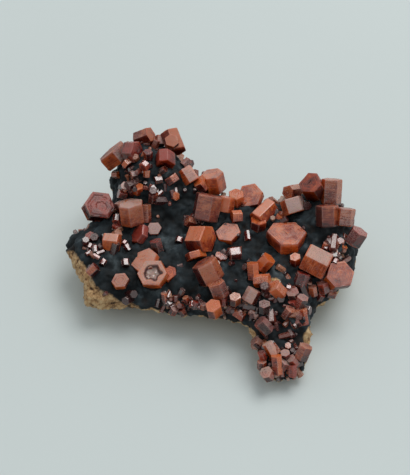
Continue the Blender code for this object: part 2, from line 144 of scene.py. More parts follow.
# Crystals by solid: name, tint, then a row for each crystal that has grown into it. A row gives a
# crystal's place right of and above the display centre, its width and length in mm, the turn of
# its long axis (0 is to the right, 90 is up), how far its end faces the display side (90 is full
# on), and its spin.
CRYSTALS = (
    ("crystal_back_left_block", BROWN, ((-27, 24.4, 10, 4.5, 131, 15, -1),)),
    ("crystal_back_left_outer", ORANGE, ((-23.3, 22.2, 3.6, 1.9, 311, 12, 7),)),
    ("crystal_back_left_leaning", RED, ((-21.8, 25.5, 7.1, 4, 354, 34, 14),)),
    ("crystal_back_left_inner_small", RED, ((-17, 24.3, 3, 3.8, 87, 43, -23),)),
    ("crystals_back_left_top", BROWN, (
        (-18.3, 30.1, 5.1, 5.5, 17, 31, 1),
        (-17.8, 29.4, 4.2, 2, 70, 7, 26),
    )),
    ("crystals_back_left_rim", BROWN, (
        (-13.3, 29.1, 3.6, 3, 269, 10, 26),
        (-9.5, 28.6, 6.6, 7, 291, 17, 2),
        (-9.8, 28, 4.6, 6.5, 90, 75, 12),
    )),
    ("crystal_back_left_inner", RED, ((-12, 23.4, 6.1, 4.4, 273, 28, -24),)),
    ("crystal_back_ridge_low", ORANGE, ((-9.8, 17.5, 4.7, 2.4, 124, 7, -3),)),
    ("crystals_back_ridge", ORANGE, (
        (-5.1, 18.5, 5.3, 5, 303, 4, 12),
        (-1, 16, 5, 3.5, 130, 30, 0),
        (2.5, 16.7, 7.4, 6, 103, 30, 20),
    )),
    ("crystals_centre_block", BROWN, (
        (0.7, 9, 8.4, 7.8, 79, 7, 12),
        (-4.3, 4.7, 3.8, 3.4, 160, 30, 0),
    )),
    ("crystals_centre_ridge", ORANGE, (
        (6.3, 10, 5.2, 4.6, 82, 10, 20),
        (9.5, 11.3, 5.6, 4.5, 95, 38, 0),
        (13.6, 12.2, 8.4, 4, 120, 68, 10),
        (11.5, 10, 2.5, 2, 90, 20, 0),
    )),
    ("crystals_centre_tablet", ORANGE, (
        (9.4, 6.2, 3.9, 3.2, 184, 18, 21),
        (7, 1, 7.5, 3, 100, 55, 10),
    )),
    ("crystals_centre_pair", ORANGE, (
        (-1.4, -0.5, 8.6, 6, 0, 36, -1),
        (-2.8, -5.4, 6.4, 2.2, 286, 11, -29),
    )),
    ("crystals_front_centre", BROWN, (
        (0.9, -10.2, 8.2, 6.2, 117, 14, 28),
        (4, -15.6, 5.4, 4.6, 112, 18, 10),
    )),
    ("crystal_front_edge", ORANGE, ((2.7, -21.6, 5, 3.6, 105, 45, 0),)),
    ("crystal_left_tablet", RED, ((-31.8, 9.1, 9.8, 5.9, 39, 67, 17),)),
    ("crystals_left_block", BROWN, (
        (-21.9, 7.4, 8, 6.4, 96, 24, 0),
        (-24.3, 8.8, 4.6, 4.6, 110, 15, 25),
        (-17.5, 7.3, 3, 5.5, 92, 10, 20),
    )),
    ("crystals_left_pair", RED, (
        (-15.3, 2.4, 4.6, 2.9, 77, 72, -14),
        (-19.6, 0.8, 7, 2.3, 151, 28, 15),
    )),
    ("crystal_left_low", RED, ((-14.3, -2.6, 4, 3.8, 105, 20, 0),)),
    ("crystal_left_stub", ORANGE, ((-27.9, -1.5, 6.2, 4.6, -5, 10, 0),)),
    ("crystal_left_corner", RED, ((-34.4, 0.2, 3.2, 1.6, 118, 48, -29),)),
    ("crystals_hopper", ORANGE, (
        (-15.6, -11, 9.2, 4.2, 115, 68, 3),
        (-18.2, -7.4, 8.8, 2.5, 124, 46, 14),
        (-11, -11, 5.6, 2, 100, 55, 0),
    )),
    ("crystal_front_left_tablet", BROWN, ((-25.3, -13.2, 5.2, 2.4, 95, 66, 30),)),
    ("crystal_right_tablet", ORANGE, ((24.6, 0, 12.2, 4.2, 92, 40, 30),)),
    ("crystal_right_inner", BROWN, ((26.3, 9.4, 7.4, 4.7, 286, 5, -29),)),
    ("crystal_right_inner_back", BROWN, ((26.3, 13.8, 4.8, 4.9, 190, 45, 3),)),
    ("crystal_right_back", ORANGE, ((32.8, 14.3, 7.5, 8.9, 132, 56, -22),)),
    ("crystal_right_back_outer", BROWN, ((37.8, 13.8, 6.2, 7.6, 88, 10, 20),)),
    ("crystals_right_pair", BROWN, (
        (36.6, 6.5, 6.8, 6.2, 92, 8, 26),
        (42, 6.2, 6, 5.2, 85, 8, 25),
    )),
    ("crystal_right_end", RED, ((45.3, 0.2, 5.4, 4.6, 60, 25, 0),)),
    ("crystals_right_front", ORANGE, (
        (33.3, -7.2, 9.6, 7.4, -27, 5, 0),
        (40.1, -11.4, 9.2, 3.6, 60, 70, 10),
        (27, -7, 3.5, 4, 95, 50, 0),
    )),
    ("crystal_right_low", RED, ((29, -12.5, 4, 4, 72, 12, 20),)),
    ("crystals_front_middle", ORANGE, (
        (18, -7.6, 4.8, 4.4, 50, 25, 0),
        (14.5, -10, 3.8, 5, 95, 10, 0),
        (17.2, -13, 4.2, 4.6, 5, 20, 20),
        (21.8, -15.7, 4.7, 4.2, 135, 25, 0),
    )),
    ("crystals_centre_prism", ORANGE, (
        (17.7, 7.4, 5.8, 7.4, 223, 25, 0),
        (16, 4.1, 5.5, 2.9, 83, 36, 6),
    )),
    ("crystals_spur_root", RED, (
        (26.6, -17.6, 4, 3.4, 110, 35, 0),
        (28.8, -19.3, 3.8, 3.6, 70, 30, 0),
        (26.4, -20, 2.6, 2.6, 120, 30, 0),
    )),
    ("crystal_spur_shoulder", BROWN, ((14, -17.5, 4.4, 4.2, 62, 5, 30),)),
    ("crystal_spur_left_upper", RED, ((17.7, -21, 3.6, 3, 90, 40, 0),)),
    ("crystal_spur_left", RED, ((17.7, -26.6, 4, 4.4, 130, 15, 20),)),
    ("crystals_spur_tip", ORANGE, (
        (19.7, -33.6, 3.2, 4.4, 120, 8, 30),
        (21.6, -38.2, 3.5, 5.6, 95, 12, 0),
        (18.7, -41, 4.2, 2.8, 130, 45, 0),
    )),
    ("crystal_spur_right", BROWN, ((29.6, -34.5, 4.4, 4.4, 68, 18, 0),)),
    ("crystals_spur_end", RED, (
        (24.2, -35.6, 3, 3, 100, 40, 0),
        (23.6, -38.2, 3.2, 2.8, 60, 30, 0),
        (26.4, -37.2, 3, 3, 130, 30, 0),
        (26.2, -39.8, 3, 3.6, 92, 12, 0),
    )),
)

# The smaller crystals of the crust and the rim, with rows of the same kind
SMALL_CRYSTALS = (
    (-26.6, 18.8, 2.5, 2.6, 354, 44, -21),
    (-5.6, 22.2, 3, 2.9, 223, 14, 11),
    (-21.3, 18.7, 3.1, 2, 195, 16, -18),
    (-17.4, 19.2, 2.5, 2.2, 88, 18, -22),
    (-18, 22, 2.4, 2, 60, 50, 30),
    (-24.4, 14.6, 2.9, 4.3, 60, 61, -12),
    (-20.3, 14.5, 3.9, 2.5, 90, 48, -1),
    (-24.8, 13, 3.4, 2.6, 170, 20, 0),
    (-15.6, 12, 3.2, 3, 80, 30, 0),
    (-9.2, 12.5, 2.8, 2.6, 351, 57, -22),
    (-16, 15, 2.2, 2, 60, 30, 0),
    (-12.6, 20.2, 2.4, 2, 30, 30, 0),
    (4.7, -6.2, 3.8, 2.6, 75, 45, 0),
    (5.6, -19.2, 2.6, 2.5, 95, 20, 30),
    (9, -18.6, 3.6, 3.2, 90, 50, 10),
    (10.3, -23.3, 3.2, 3.4, -32, 20, 0),
    (7.7, -21.4, 2.4, 2.4, 60, 30, 0),
    (9.5, -4.5, 3.4, 3.2, 5, 12, 30),
    (-26.5, 6, 2.2, 2.2, 90, 12, 30),
    (-26.5, 3, 3.2, 2.5, 80, 40, 0),
    (-33.6, -9.8, 3.2, 3.2, 42, 12, 30),
    (22, 5.5, 2.6, 2.6, 60, 20, 0),
    (40.5, -1.4, 2.4, 2, 90, 60, 0),
    (39.3, -5, 2.8, 2.2, 90, 60, 0),
    (41.5, -3.4, 2, 2, 60, 30, 0),
    (38.3, -6.9, 1.8, 1.8, 90, 40, 0),
    (36, -2.6, 2, 2.2, 70, 30, 0),
    (38.2, -14.8, 3.2, 2.2, 160, 40, 0),
    (35.4, -14.8, 3.8, 3.4, 105, 25, 0),
    (32.4, -16, 2.8, 3, 100, 25, 0),
    (37.8, -17, 2.8, 2.6, 170, 15, 0),
    (34.6, -18, 2.4, 2.2, 60, 30, 0),
    (25, -22.6, 3.8, 3.2, 60, 30, 0),
    (29.6, -23.8, 2.8, 4.6, 98, 10, 0),
    (27.6, -25.8, 3, 2.8, 30, 25, 0),
    (15.9, -31.7, 3.2, 3.2, 140, 25, 0),
    (17, -38.2, 2.8, 2.6, 90, 30, 20),
    (17.2, -35.4, 2.6, 2.4, 110, 30, 0),
    (24.9, -32.8, 2, 2, 90, 60, 0),
    (-12, -18.2, 2.4, 3.4, 100, 20, 0),
    (-9.4, -22, 2.8, 2.4, 60, 40, 0),
    (-6.8, -22.4, 2.4, 2.2, 120, 30, 0),
    (-5.6, -18.8, 2.2, 2.2, 110, 30, 0),
    (-3, -20.2, 2.2, 2.4, 70, 20, 0),
    (-0.6, -20.6, 2, 2, 90, 40, 0),
)


def plate_height(x, y):
    """Upper surface of the rock without its lumps."""
    height = PLATE_TOP
    for cx, cy, rx, ry, rise in SWELLINGS:
        spread = ((x - cx * MM) / (rx * MM)) ** 2 + ((y - cy * MM) / (ry * MM)) ** 2
        height += rise * MM * math.exp(-spread)
    height -= FRONT_SLOPE * max(0.0, FRONT_SLOPE_START - y)
    height -= SPUR_SLOPE * max(0.0, SPUR_START - y)
    return height


def crystal_frame(turn, facing, spin):
    """Rotation that carries +Z to a crystal's long axis."""
    turn = math.radians(turn)
    facing = math.radians(facing)
    lean = RIGHT * math.cos(turn) + UP * math.sin(turn)
    axis = lean * math.cos(facing) + TOWARD * math.sin(facing)
    side = TOWARD * math.cos(facing) - lean * math.sin(facing)
    other = axis.cross(side)
    return Matrix((side, other, axis)).transposed() @ Matrix.Rotation(math.radians(spin), 3, "Z")


def line_of_sight(right_mm, up_mm):
    """A place right of and above the display centre, and the direction in which it is seen."""
    aim = DISPLAY_CENTRE + RIGHT * right_mm * MM + UP * up_mm * MM
    return aim, (aim - EYE).normalized()


def seat(right_mm, up_mm, width, length, rotation):
    """A crystal's centre: along the line of sight, until its lowest corner is in the rock."""
    _, sight = line_of_sight(right_mm, up_mm)
    corners = []
    for end in (-0.5, 0.5):
        for side in range(6):
            angle = math.radians(60 * side)
            corners.append(rotation @ Vector((math.cos(angle) * width / 2,
                                              math.sin(angle) * width / 2, end * length)))
    travel = (HIGHEST_SEAT - EYE.z) / sight.z
    while travel < 2 * DISPLAY_DISTANCE:
        centre = EYE + sight * travel
        clear = min((centre + corner).z - plate_height((centre + corner).x, (centre + corner).y)
                    for corner in corners)
        if clear <= -EMBEDDED * width:
            return centre
        travel += SEAT_STEP
    return centre


def linear(hex_colour):
    """An sRGB hex colour as a linear RGBA colour."""
    values = [int(hex_colour[start:start + 2], 16) / 255 for start in (1, 3, 5)]
    curve = [v / 12.92 if v <= 0.04045 else ((v + 0.055) / 1.055) ** 2.4 for v in values]
    return (*curve, 1.0)


def add_node(tree, kind, feeds=None, stops=(), out=0, **settings):
    """Adds a node with its settings and returns one of its outputs. feeds gives its inputs a value
    or the socket that feeds them, by name or by number: a map range has its value, its range from
    and its range to as 0 to 4, a colour mix its share as 0 and its colours as 6 and 7. stops gives
    a colour ramp its positions and hex colours."""
    node = tree.nodes.new(kind)
    for key, value in settings.items():
        setattr(node, key, value)
    for key, value in (feeds or {}).items():
        if isinstance(value, bpy.types.NodeSocket):
            tree.links.new(value, node.inputs[key])
        else:
            node.inputs[key].default_value = value
    for index, (position, colour) in enumerate(stops):
        if index > 1:
            node.color_ramp.elements.new(position)
        node.color_ramp.elements[index].position = position
        node.color_ramp.elements[index].color = linear(colour)
    return node.outputs[out] if node.outputs else None


def new_material(name):
    """A material with an empty node tree."""
    material = bpy.data.materials.new(name)
    material.use_nodes = True
    material.node_tree.nodes.clear()
    return material, material.node_tree


def new_group(name, numbers, seeds=()):
    """A node group from one mesh to another, with its named inputs."""
    tree = bpy.data.node_groups.new(name, "GeometryNodeTree")
    sockets = [("Geometry", "INPUT", "Geometry"), ("Geometry", "OUTPUT", "Geometry")]
    sockets += [(label, "INPUT", "Float") for label in numbers]
    sockets += [(label, "INPUT", "Int") for label in seeds]
    for label, side, kind in sockets:
        tree.interface.new_socket(label, in_out=side, socket_type="NodeSocket" + kind)
    return tree, add_node(tree, "NodeGroupInput").node.outputs


def apply_modifiers(obj):
    """Gives the object the mesh that its modifiers make, and removes them."""
    depsgraph = bpy.context.evaluated_depsgraph_get()
    result = bpy.data.meshes.new_from_object(obj.evaluated_get(depsgraph))
    obj.modifiers.clear()
    obj.data = result


def add_object(name, data):
    """A new object in the scene, at the origin."""
    obj = bpy.data.objects.new(name, data)
    bpy.context.scene.collection.objects.link(obj)
    return obj


def add_mesh(name, mesh):
    """A new object from a bmesh, which is used up."""
    data = bpy.data.meshes.new(name)
    mesh.to_mesh(data)
    mesh.free()
    return add_object(name, data)


def vertex_values(data, what):
    """The places ("co") or normals ("normal") of a mesh's vertices, one row for each."""
    values = np.empty(len(data.vertices) * 3)
    data.vertices.foreach_get(what, values)
    return values.reshape(-1, 3)


def store(data, name, values):
    """Stores one number for each vertex."""
    attribute = data.attributes.new(name, "FLOAT", "POINT")
    attribute.data.foreach_set("value", np.asarray(values, dtype=np.float32))


def ease(values, start=0.0, end=1.0):
    """0 up to the start, 1 from the end on, and a smooth step between."""
    values = np.clip((values - start) / (end - start), 0.0, 1.0)
    return values * values * (3.0 - 2.0 * values)


def rock_skin():
    """The solid's own shape as an even fine mesh, softened ready for its crust."""
    mesh = bmesh.new()
    mesh.from_mesh(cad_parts["matrix"].data)
    bmesh.ops.remove_doubles(mesh, verts=mesh.verts, dist=1e-6)
    skin = add_mesh("rock", mesh)
    remesh = skin.modifiers.new("even", "REMESH")
    remesh.mode = "VOXEL"
    remesh.voxel_size = SKIN_GRAIN
    soften = skin.modifiers.new("soften", "SMOOTH")
    soften.factor = 0.5
    soften.iterations = SKIN_SOFTENING
    apply_modifiers(skin)
    return skin


def fit_round_crystals(skin):
    """The crust climbs a little up the foot of each crystal and stays clear of its inside. Where a
    small crystal is fused to the solid, it is only a swelling of the skin, which shrinks there."""
    places = vertex_values(skin.data, "co")
    normals = vertex_values(skin.data, "normal")
    rise = np.zeros(len(places))
    buried = np.zeros(len(places))
    for row in [row for _, _, rows in CRYSTALS for row in rows] + list(SMALL_CRYSTALS):
        right_mm, up_mm, width, length, turn, facing, spin = row
        rotation = crystal_frame(turn, facing, spin)
        centre = np.array(seat(right_mm, up_mm, width * MM, length * MM, rotation))
        local = np.abs((places - centre) @ np.array(rotation)) / MM
        beside = np.maximum(np.hypot(local[:, 0], local[:, 1]) - WALL_SHARE * width,
                            local[:, 2] - 0.5 * length)
        rise = np.maximum(rise, ease(beside, FOOT_WIDTH_MM, 0.0) * (beside > 0))
        buried = np.maximum(buried, ease(-beside, end=BURIED_SHARE * width))
        if row in SMALL_CRYSTALS:
            inside = beside < SKIN_GRAIN / MM
            places[inside] = (places[inside] + centre) / 2
    rise *= (1.0 - buried) * (normals[:, 2] > FOOT_LEAST_SLOPE)
    places += normals * (rise * FOOT_RISE)[:, None]
    places[:, 2] -= buried * BURIED_DROP
    skin.data.vertices.foreach_set("co", places.ravel())
    skin.data.update()
    store(skin.data, "buried", buried)


def display_places(places):
    """Each point's place right of and above the display centre, in mm."""
    away = places - np.array(EYE)
    scale = DISPLAY_DISTANCE / -(away @ np.array(TOWARD)) / MM
    return (away @ np.array(RIGHT)) * scale, (away @ np.array(UP)) * scale


def mark_skin(skin):
    """Stores where the limonite is bare and where small crystals crowd."""
    places = vertex_values(skin.data, "co")
    normals = vertex_values(skin.data, "normal")
    bare = np.zeros(len(places))
    for x, y, z, reach in BARE_PATCHES:
        gap = np.linalg.norm(places / MM - np.array((x, y, z)), axis=1)
        bare = np.maximum(bare, ease(gap / reach, 1.0, BARE_FULL_WITHIN))
    underneath = ease(normals[:, 2], -0.1, -0.45)
    bare = np.maximum(bare, underneath)
    across, above = display_places(places)
    crowd = np.full(len(places), LEAST_CROWD)
    for x, y, reach, crowding in DRUSE_PATCHES:
        gap = np.hypot(across - x, above - y)
        crowd = np.maximum(crowd, crowding * ease(gap / reach, 1.0, CROWD_FULL_WITHIN))
    facing_back = ease(normals[:, 1], 0.15, 0.55)
    facing_up = ease(normals[:, 2], 0.25, 0.6)
    crowd = np.maximum(crowd, CROWD_BEHIND * facing_back)
    crowd *= facing_up * (1.0 - CROWD_LOST_WHERE_BARE * bare)
    store(skin.data, "bare", bare)
    store(skin.data, "crowd", crowd)


def crust_tree():
    """Raises knobs on the crust and rough lumps on the breaks, along the surface's normal."""
    tree, inside = new_group("crust relief", (
        "Large knob", "Small knob", "Large rise", "Small rise", "Break lump", "Break rise",
        "Break grain"))
    place = add_node(tree, "GeometryNodeInputPosition")
    in_mm = add_node(tree, "ShaderNodeVectorMath", {0: place, 3: 1.0 / MM}, operation="SCALE")
    # Domes on bent cells: two sizes of knob, added together on the crust, and the breaks' lumps
    warp = add_node(tree, "ShaderNodeTexNoise", {"Vector": in_mm, "Scale": 0.35, "Detail": 3.0},
                    out="Color")
    warp = add_node(tree, "ShaderNodeVectorMath", {0: warp, 3: 2.4}, operation="SCALE")
    bent = add_node(tree, "ShaderNodeVectorMath", {0: in_mm, 1: warp}, operation="ADD")
    layers = []
    for size, rise in (("Large knob", "Large rise"), ("Small knob", "Small rise"),
                       ("Break lump", "Break rise")):
        scale = add_node(tree, "ShaderNodeMath", {0: 1.0, 1: inside[size]}, operation="DIVIDE")
        cells = add_node(tree, "ShaderNodeTexVoronoi", {"Vector": bent, "Scale": scale})
        drop = add_node(tree, "ShaderNodeMath", {0: cells, 1: 2.0}, operation="POWER")
        dome = add_node(tree, "ShaderNodeMath", {0: 0.25, 1: drop}, operation="SUBTRACT")
        layers.append(add_node(tree, "ShaderNodeMath", {0: dome, 1: inside[rise]},
                               operation="MULTIPLY"))
    crust = add_node(tree, "ShaderNodeMath", {0: layers[0], 1: layers[1]})
    # The breaks have a rough grain on their lumps
    scale = add_node(tree, "ShaderNodeMath", {0: 1.5, 1: inside["Break lump"]}, operation="DIVIDE")
    rubble = add_node(tree, "ShaderNodeTexNoise", {"Vector": in_mm, "Scale": scale,
                      "Detail": 4.0, "Roughness": 0.75})
    rubble = add_node(tree, "ShaderNodeMath", {0: rubble, 1: 0.5}, operation="SUBTRACT")
    rubble = add_node(tree, "ShaderNodeMath", {0: rubble, 1: inside["Break grain"],
                      2: layers[2]}, operation="MULTIPLY_ADD")
    bare, buried = (add_node(tree, "GeometryNodeInputNamedAttribute", {"Name": label},
                             data_type="FLOAT", out="Attribute") for label in ("bare", "buried"))
    # Each side of the blend is in mm, and nothing rises inside a crystal
    blend = add_node(tree, "ShaderNodeMix", {0: bare, 2: crust, 3: rubble}, data_type="FLOAT")
    free = add_node(tree, "ShaderNodeMath", {0: 1.0, 1: buried}, operation="SUBTRACT")
    push = add_node(tree, "ShaderNodeMath", {0: blend, 1: free}, operation="MULTIPLY")
    push = add_node(tree, "ShaderNodeMath", {0: push, 1: MM}, operation="MULTIPLY")
    normal = add_node(tree, "GeometryNodeInputNormal")
    offset = add_node(tree, "ShaderNodeVectorMath", {0: normal, 3: push}, operation="SCALE")
    moved = add_node(tree, "GeometryNodeSetPosition", {"Geometry": inside[0], "Offset": offset})
    kept = add_node(tree, "GeometryNodeStoreNamedAttribute", {
        "Geometry": moved, "Name": "relief", "Value": blend}, data_type="FLOAT", domain="POINT")
    add_node(tree, "NodeGroupOutput", {0: kept})
    return tree


def run_tree(obj, tree, values):
    """Runs a node tree on an object with its named inputs, and keeps the plain mesh."""
    modifier = obj.modifiers.new(tree.name, "NODES")
    modifier.node_group = tree
    for item in tree.interface.items_tree:
        if item.in_out == "INPUT" and item.name in values:
            modifier[item.identifier] = values[item.name]
    obj.update_tag()
    apply_modifiers(obj)


def keep_in_box(data):
    """Keeps every vertex inside the solids' box and above the face that the specimen rests on."""
    places = vertex_values(data, "co")
    low, high = (np.array(corner) for corner in solid_box)
    places[:, 2] = np.where(places[:, 2] < low[2] + RESTING_BAND, low[2], places[:, 2])
    places = np.clip(places, low, high)
    data.vertices.foreach_set("co", places.ravel())
    data.update()


def matrix_material():
    """Manganese and iron oxide crust over limonite. The crust is soft black with a bluish bloom
    and takes the light like velvet; the bare limonite is earthy, ochre and fully dull."""
    material, tree = new_material("manganese_oxide_on_limonite")
    place = add_node(tree, "ShaderNodeTexCoord", out="Object")
    in_mm = add_node(tree, "ShaderNodeVectorMath", {0: place, 3: 1.0 / MM}, operation="SCALE")
    relief, bare = (add_node(tree, "ShaderNodeAttribute", attribute_name=label, out="Fac")
                    for label in ("relief", "bare"))
    clouds, earth, grain = (
        add_node(tree, "ShaderNodeTexNoise", {"Vector": in_mm, "Scale": 1 / size_mm,
                 "Detail": detail, "Roughness": roughness})
        for size_mm, detail, roughness in ((6.0, 5.0, 0.6), (1.3, 6.0, 0.72), (0.35, 3.0, 0.7)))
    stain = add_node(tree, "ShaderNodeTexNoise", {"Vector": in_mm, "Scale": 1 / 4.5,
                     "Detail": 4.0, "Roughness": 0.65, "W": 3.0}, noise_dimensions="4D")
    # The crust: clouded, brown where iron stains it, with painted shade in its hollows and painted
    # light on the tops of its knobs
    crust = add_node(tree, "ShaderNodeValToRGB", {0: clouds}, (
        (0.34, "#0D1113"), (0.47, "#182024"), (0.56, "#222B30"), (0.68, "#454E52")))
    # Painted shade and light: the crust's colour is darker in the hollows and paler on the knob
    # tops
    painted_light = add_node(tree, "ShaderNodeMapRange", {0: relief, 1: -0.35, 2: 0.5, 3: 0.5, 4: 1.6})
    crust = add_node(tree, "ShaderNodeVectorMath", {0: crust, 3: painted_light}, operation="SCALE")
    stained = add_node(tree, "ShaderNodeMapRange", {0: stain, 1: 0.56, 2: 0.72})
    crust = add_node(tree, "ShaderNodeMix", {0: stained, 6: crust, 7: linear("#30241E")},
                     data_type="RGBA", out=2)
    # The limonite: darkened by painted shade in its hollows, and met by the crust along a ragged
    # edge
    grain_and_hollow_shade = add_node(tree, "ShaderNodeMath", {0: relief, 1: 0.22, 2: earth},
                         operation="MULTIPLY_ADD")
    limonite = add_node(tree, "ShaderNodeValToRGB", {0: grain_and_hollow_shade}, (
        (0.30, "#3C2C20"), (0.38, "#8C6A48"), (0.47, "#BC9468"), (0.6, "#D6B88C")))
    ragged = add_node(tree, "ShaderNodeMath", {0: stain, 1: 0.9, 2: -0.45},
                      operation="MULTIPLY_ADD")
    edge = add_node(tree, "ShaderNodeMath", {0: bare, 1: ragged})
    edge = add_node(tree, "ShaderNodeMapRange", {0: edge, 1: 0.4, 2: 0.6})
    colour = add_node(tree, "ShaderNodeMix", {0: edge, 6: crust, 7: limonite},
                      data_type="RGBA", out=2)
    dullness = add_node(tree, "ShaderNodeMapRange", {0: clouds, 3: 0.62, 4: 0.9})
    crumbs = add_node(tree, "ShaderNodeMath", {0: earth, 1: edge}, operation="MULTIPLY")
    crumbs = add_node(tree, "ShaderNodeMath", {0: crumbs, 1: 4.0, 2: grain},
                      operation="MULTIPLY_ADD")
    bump = add_node(tree, "ShaderNodeBump", {"Height": crumbs, "Strength": 0.6,
                    "Distance": 0.12 * MM})
    shader = add_node(tree, "ShaderNodeBsdfPrincipled", {
        "Base Color": colour, "Roughness": dullness, "Normal": bump, "IOR": 1.5,
        "Specular IOR Level": 0.3, "Sheen Weight": 0.1, "Sheen Roughness": 0.5,
        "Sheen Tint": linear("#9FB2C2")})
    add_node(tree, "ShaderNodeOutputMaterial", {"Surface": shader})
    return material


rock = rock_skin()
mark_skin(rock)
fit_round_crystals(rock)
run_tree(rock, crust_tree(), {
    "Large knob": KNOB_SIZES_MM[0], "Small knob": KNOB_SIZES_MM[1],
    "Large rise": KNOB_RISES_MM[0], "Small rise": KNOB_RISES_MM[1],
    "Break lump": BREAK_SIZE_MM, "Break rise": BREAK_RISES_MM[0],
    "Break grain": BREAK_RISES_MM[1],
})
keep_in_box(rock.data)
rock.data.materials.clear()
rock.data.materials.append(matrix_material())
rock.data.shade_smooth()
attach(rock, "root")
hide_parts("matrix")


# ---------------------------------------------------------------------------------------------
# The vanadinite crystals: six-sided prisms and thick tablets of lead chlorovanadate, rooted in
# the crust. Their faces grew in low steps, their edges are slightly rounded, and the largest
# tablet on the left front has a hollow end.
# ---------------------------------------------------------------------------------------------
# Bevels and unevenness as shares of a crystal's size, and how its edges are rounded
BEVEL_ACROSS = 0.07
BEVEL_ALONG = 0.06
UNEVENNESS = 0.10
EDGE_ROUNDING = 0.10 * MM
CORNER_DRAWN_IN = 0.3
SHARP_ANGLE = math.radians(22)

# The grain of the mesh, the least share of it that a small crystal gets, how many grains lie
# across one, and how much of an end its rings fill
FACE_GRAIN = 0.34 * MM
FINEST_GRAIN = 0.6
GRAINS_ACROSS = 14
END_FILLED = 0.94
SEEDS_PER_SOLID = 100

# Growth steps: how high and how many, and how quickly they change across a face
STEP_RISE = 0.13 * MM
STEPS = 4
END_STEPS_PER_MM = (0.1, 0.75, 0.1)
WALL_STEPS_PER_MM = (0.12, 0.6)

# How far apart the crystals' patterns may lie, and how quickly chips, the hollow's ragged rim and
# its rough base vary
NOISE_SPAN = 90
CHIPS_PER_MM = 0.8
RAGGED_PER_MM = 0.5
ROUGH_PER_MM = 0.9

# Chips on the edges, the hollow end, the thin edges and the painted highlights on their rims, the
# dust and painted sheen on a crystal whose look leaves it to chance, and the side that most light
# comes from
CHIP_START = 0.2
CHIP_REACH = 0.7 * MM
CHIP_SLOPE = 0.45
HOLLOW_DEPTH = 1.0 * MM
HOLLOW_ROUGHNESS = 0.5 * MM
HOLLOW_WALL = 0.12
RAGGEDNESS = 0.5
THIN_SHARE = 0.3
RIM_WIDTH = 0.22 * MM
RIM_SHARE = 0.02
DUST_AND_SHEEN_BY_CHANCE = (0.1, 0.8)
LIT_SIDE = Vector((0.35, 0.43, 0.83))

# What each vertex of a crystal tells its material
MARKS = ("tint", "tone", "dust", "rim", "glow", "away", "pit", "dull", "low")


def spaced(start, end, spacing):
    """Evenly spaced values from start to end, about spacing apart."""
    steps = max(1, round(abs(end - start) / spacing))
    return [start + (end - start) * step / steps for step in range(steps + 1)]


def wall_corner(angle, before, after):
    """Where two neighbouring walls meet: their normals are at angle and at angle + 60 degrees."""
    first = math.radians(angle)
    second = math.radians(angle + 60)
    turn = math.sin(second - first)
    x = (before * math.sin(second) - after * math.sin(first)) / turn
    y = (after * math.cos(first) - before * math.cos(second)) / turn
    return Vector((x, y))


def end_profile(length, width, reach, least, grain):
    """Height and inset of each ring over one end, from the wall to the middle of the end face."""
    along = BEVEL_ALONG * width
    across = BEVEL_ACROSS * reach
    rings = [(length / 2 - along, 0.0), (length / 2, across)]
    for inset in spaced(across, END_FILLED * least, grain)[1:]:
        rings.append((length / 2, inset))
    return rings


def side_shares(side, grain):
    """Places along one side of a ring, with one close to each corner for its rounded edge."""
    rounding = min(0.2, EDGE_ROUNDING / side)
    inner = spaced(rounding, 1.0 - rounding, grain / side)
    return [0.0] + inner


def terrace(place):
    """Growth steps: from -1 to 0, in a few flat levels."""
    return math.floor((0.5 + 0.5 * noise.noise(place)) * STEPS) / STEPS - 1.0


def chipped(place, edge, seed):
    """How much a place near an edge has lost to chips."""
    nibble = noise.noise(place / MM * CHIPS_PER_MM + seed)
    return CHIP_SLOPE * max(0.0, nibble - CHIP_START) * max(0.0, CHIP_REACH - edge)


def sunk_share(place, inset_share, hollow, seed):
    """How far a place in a hollow end has sunk, from 0 on the ragged rim to 1 at the base."""
    ragged = hollow * (1.0 + RAGGEDNESS * noise.noise(place / MM * RAGGED_PER_MM + seed))
    return float(ease(inset_share, ragged, ragged + HOLLOW_WALL))


def close_rings(mesh, rings):
    """Faces between each ring and the next, and one over each end."""
    for lower, upper in zip(rings, rings[1:]):
        for index in range(len(lower)):
            mesh.faces.new((lower[index - 1], lower[index], upper[index], upper[index - 1]))
    mesh.faces.new(rings[0][::-1])
    mesh.faces.new(rings[-1])


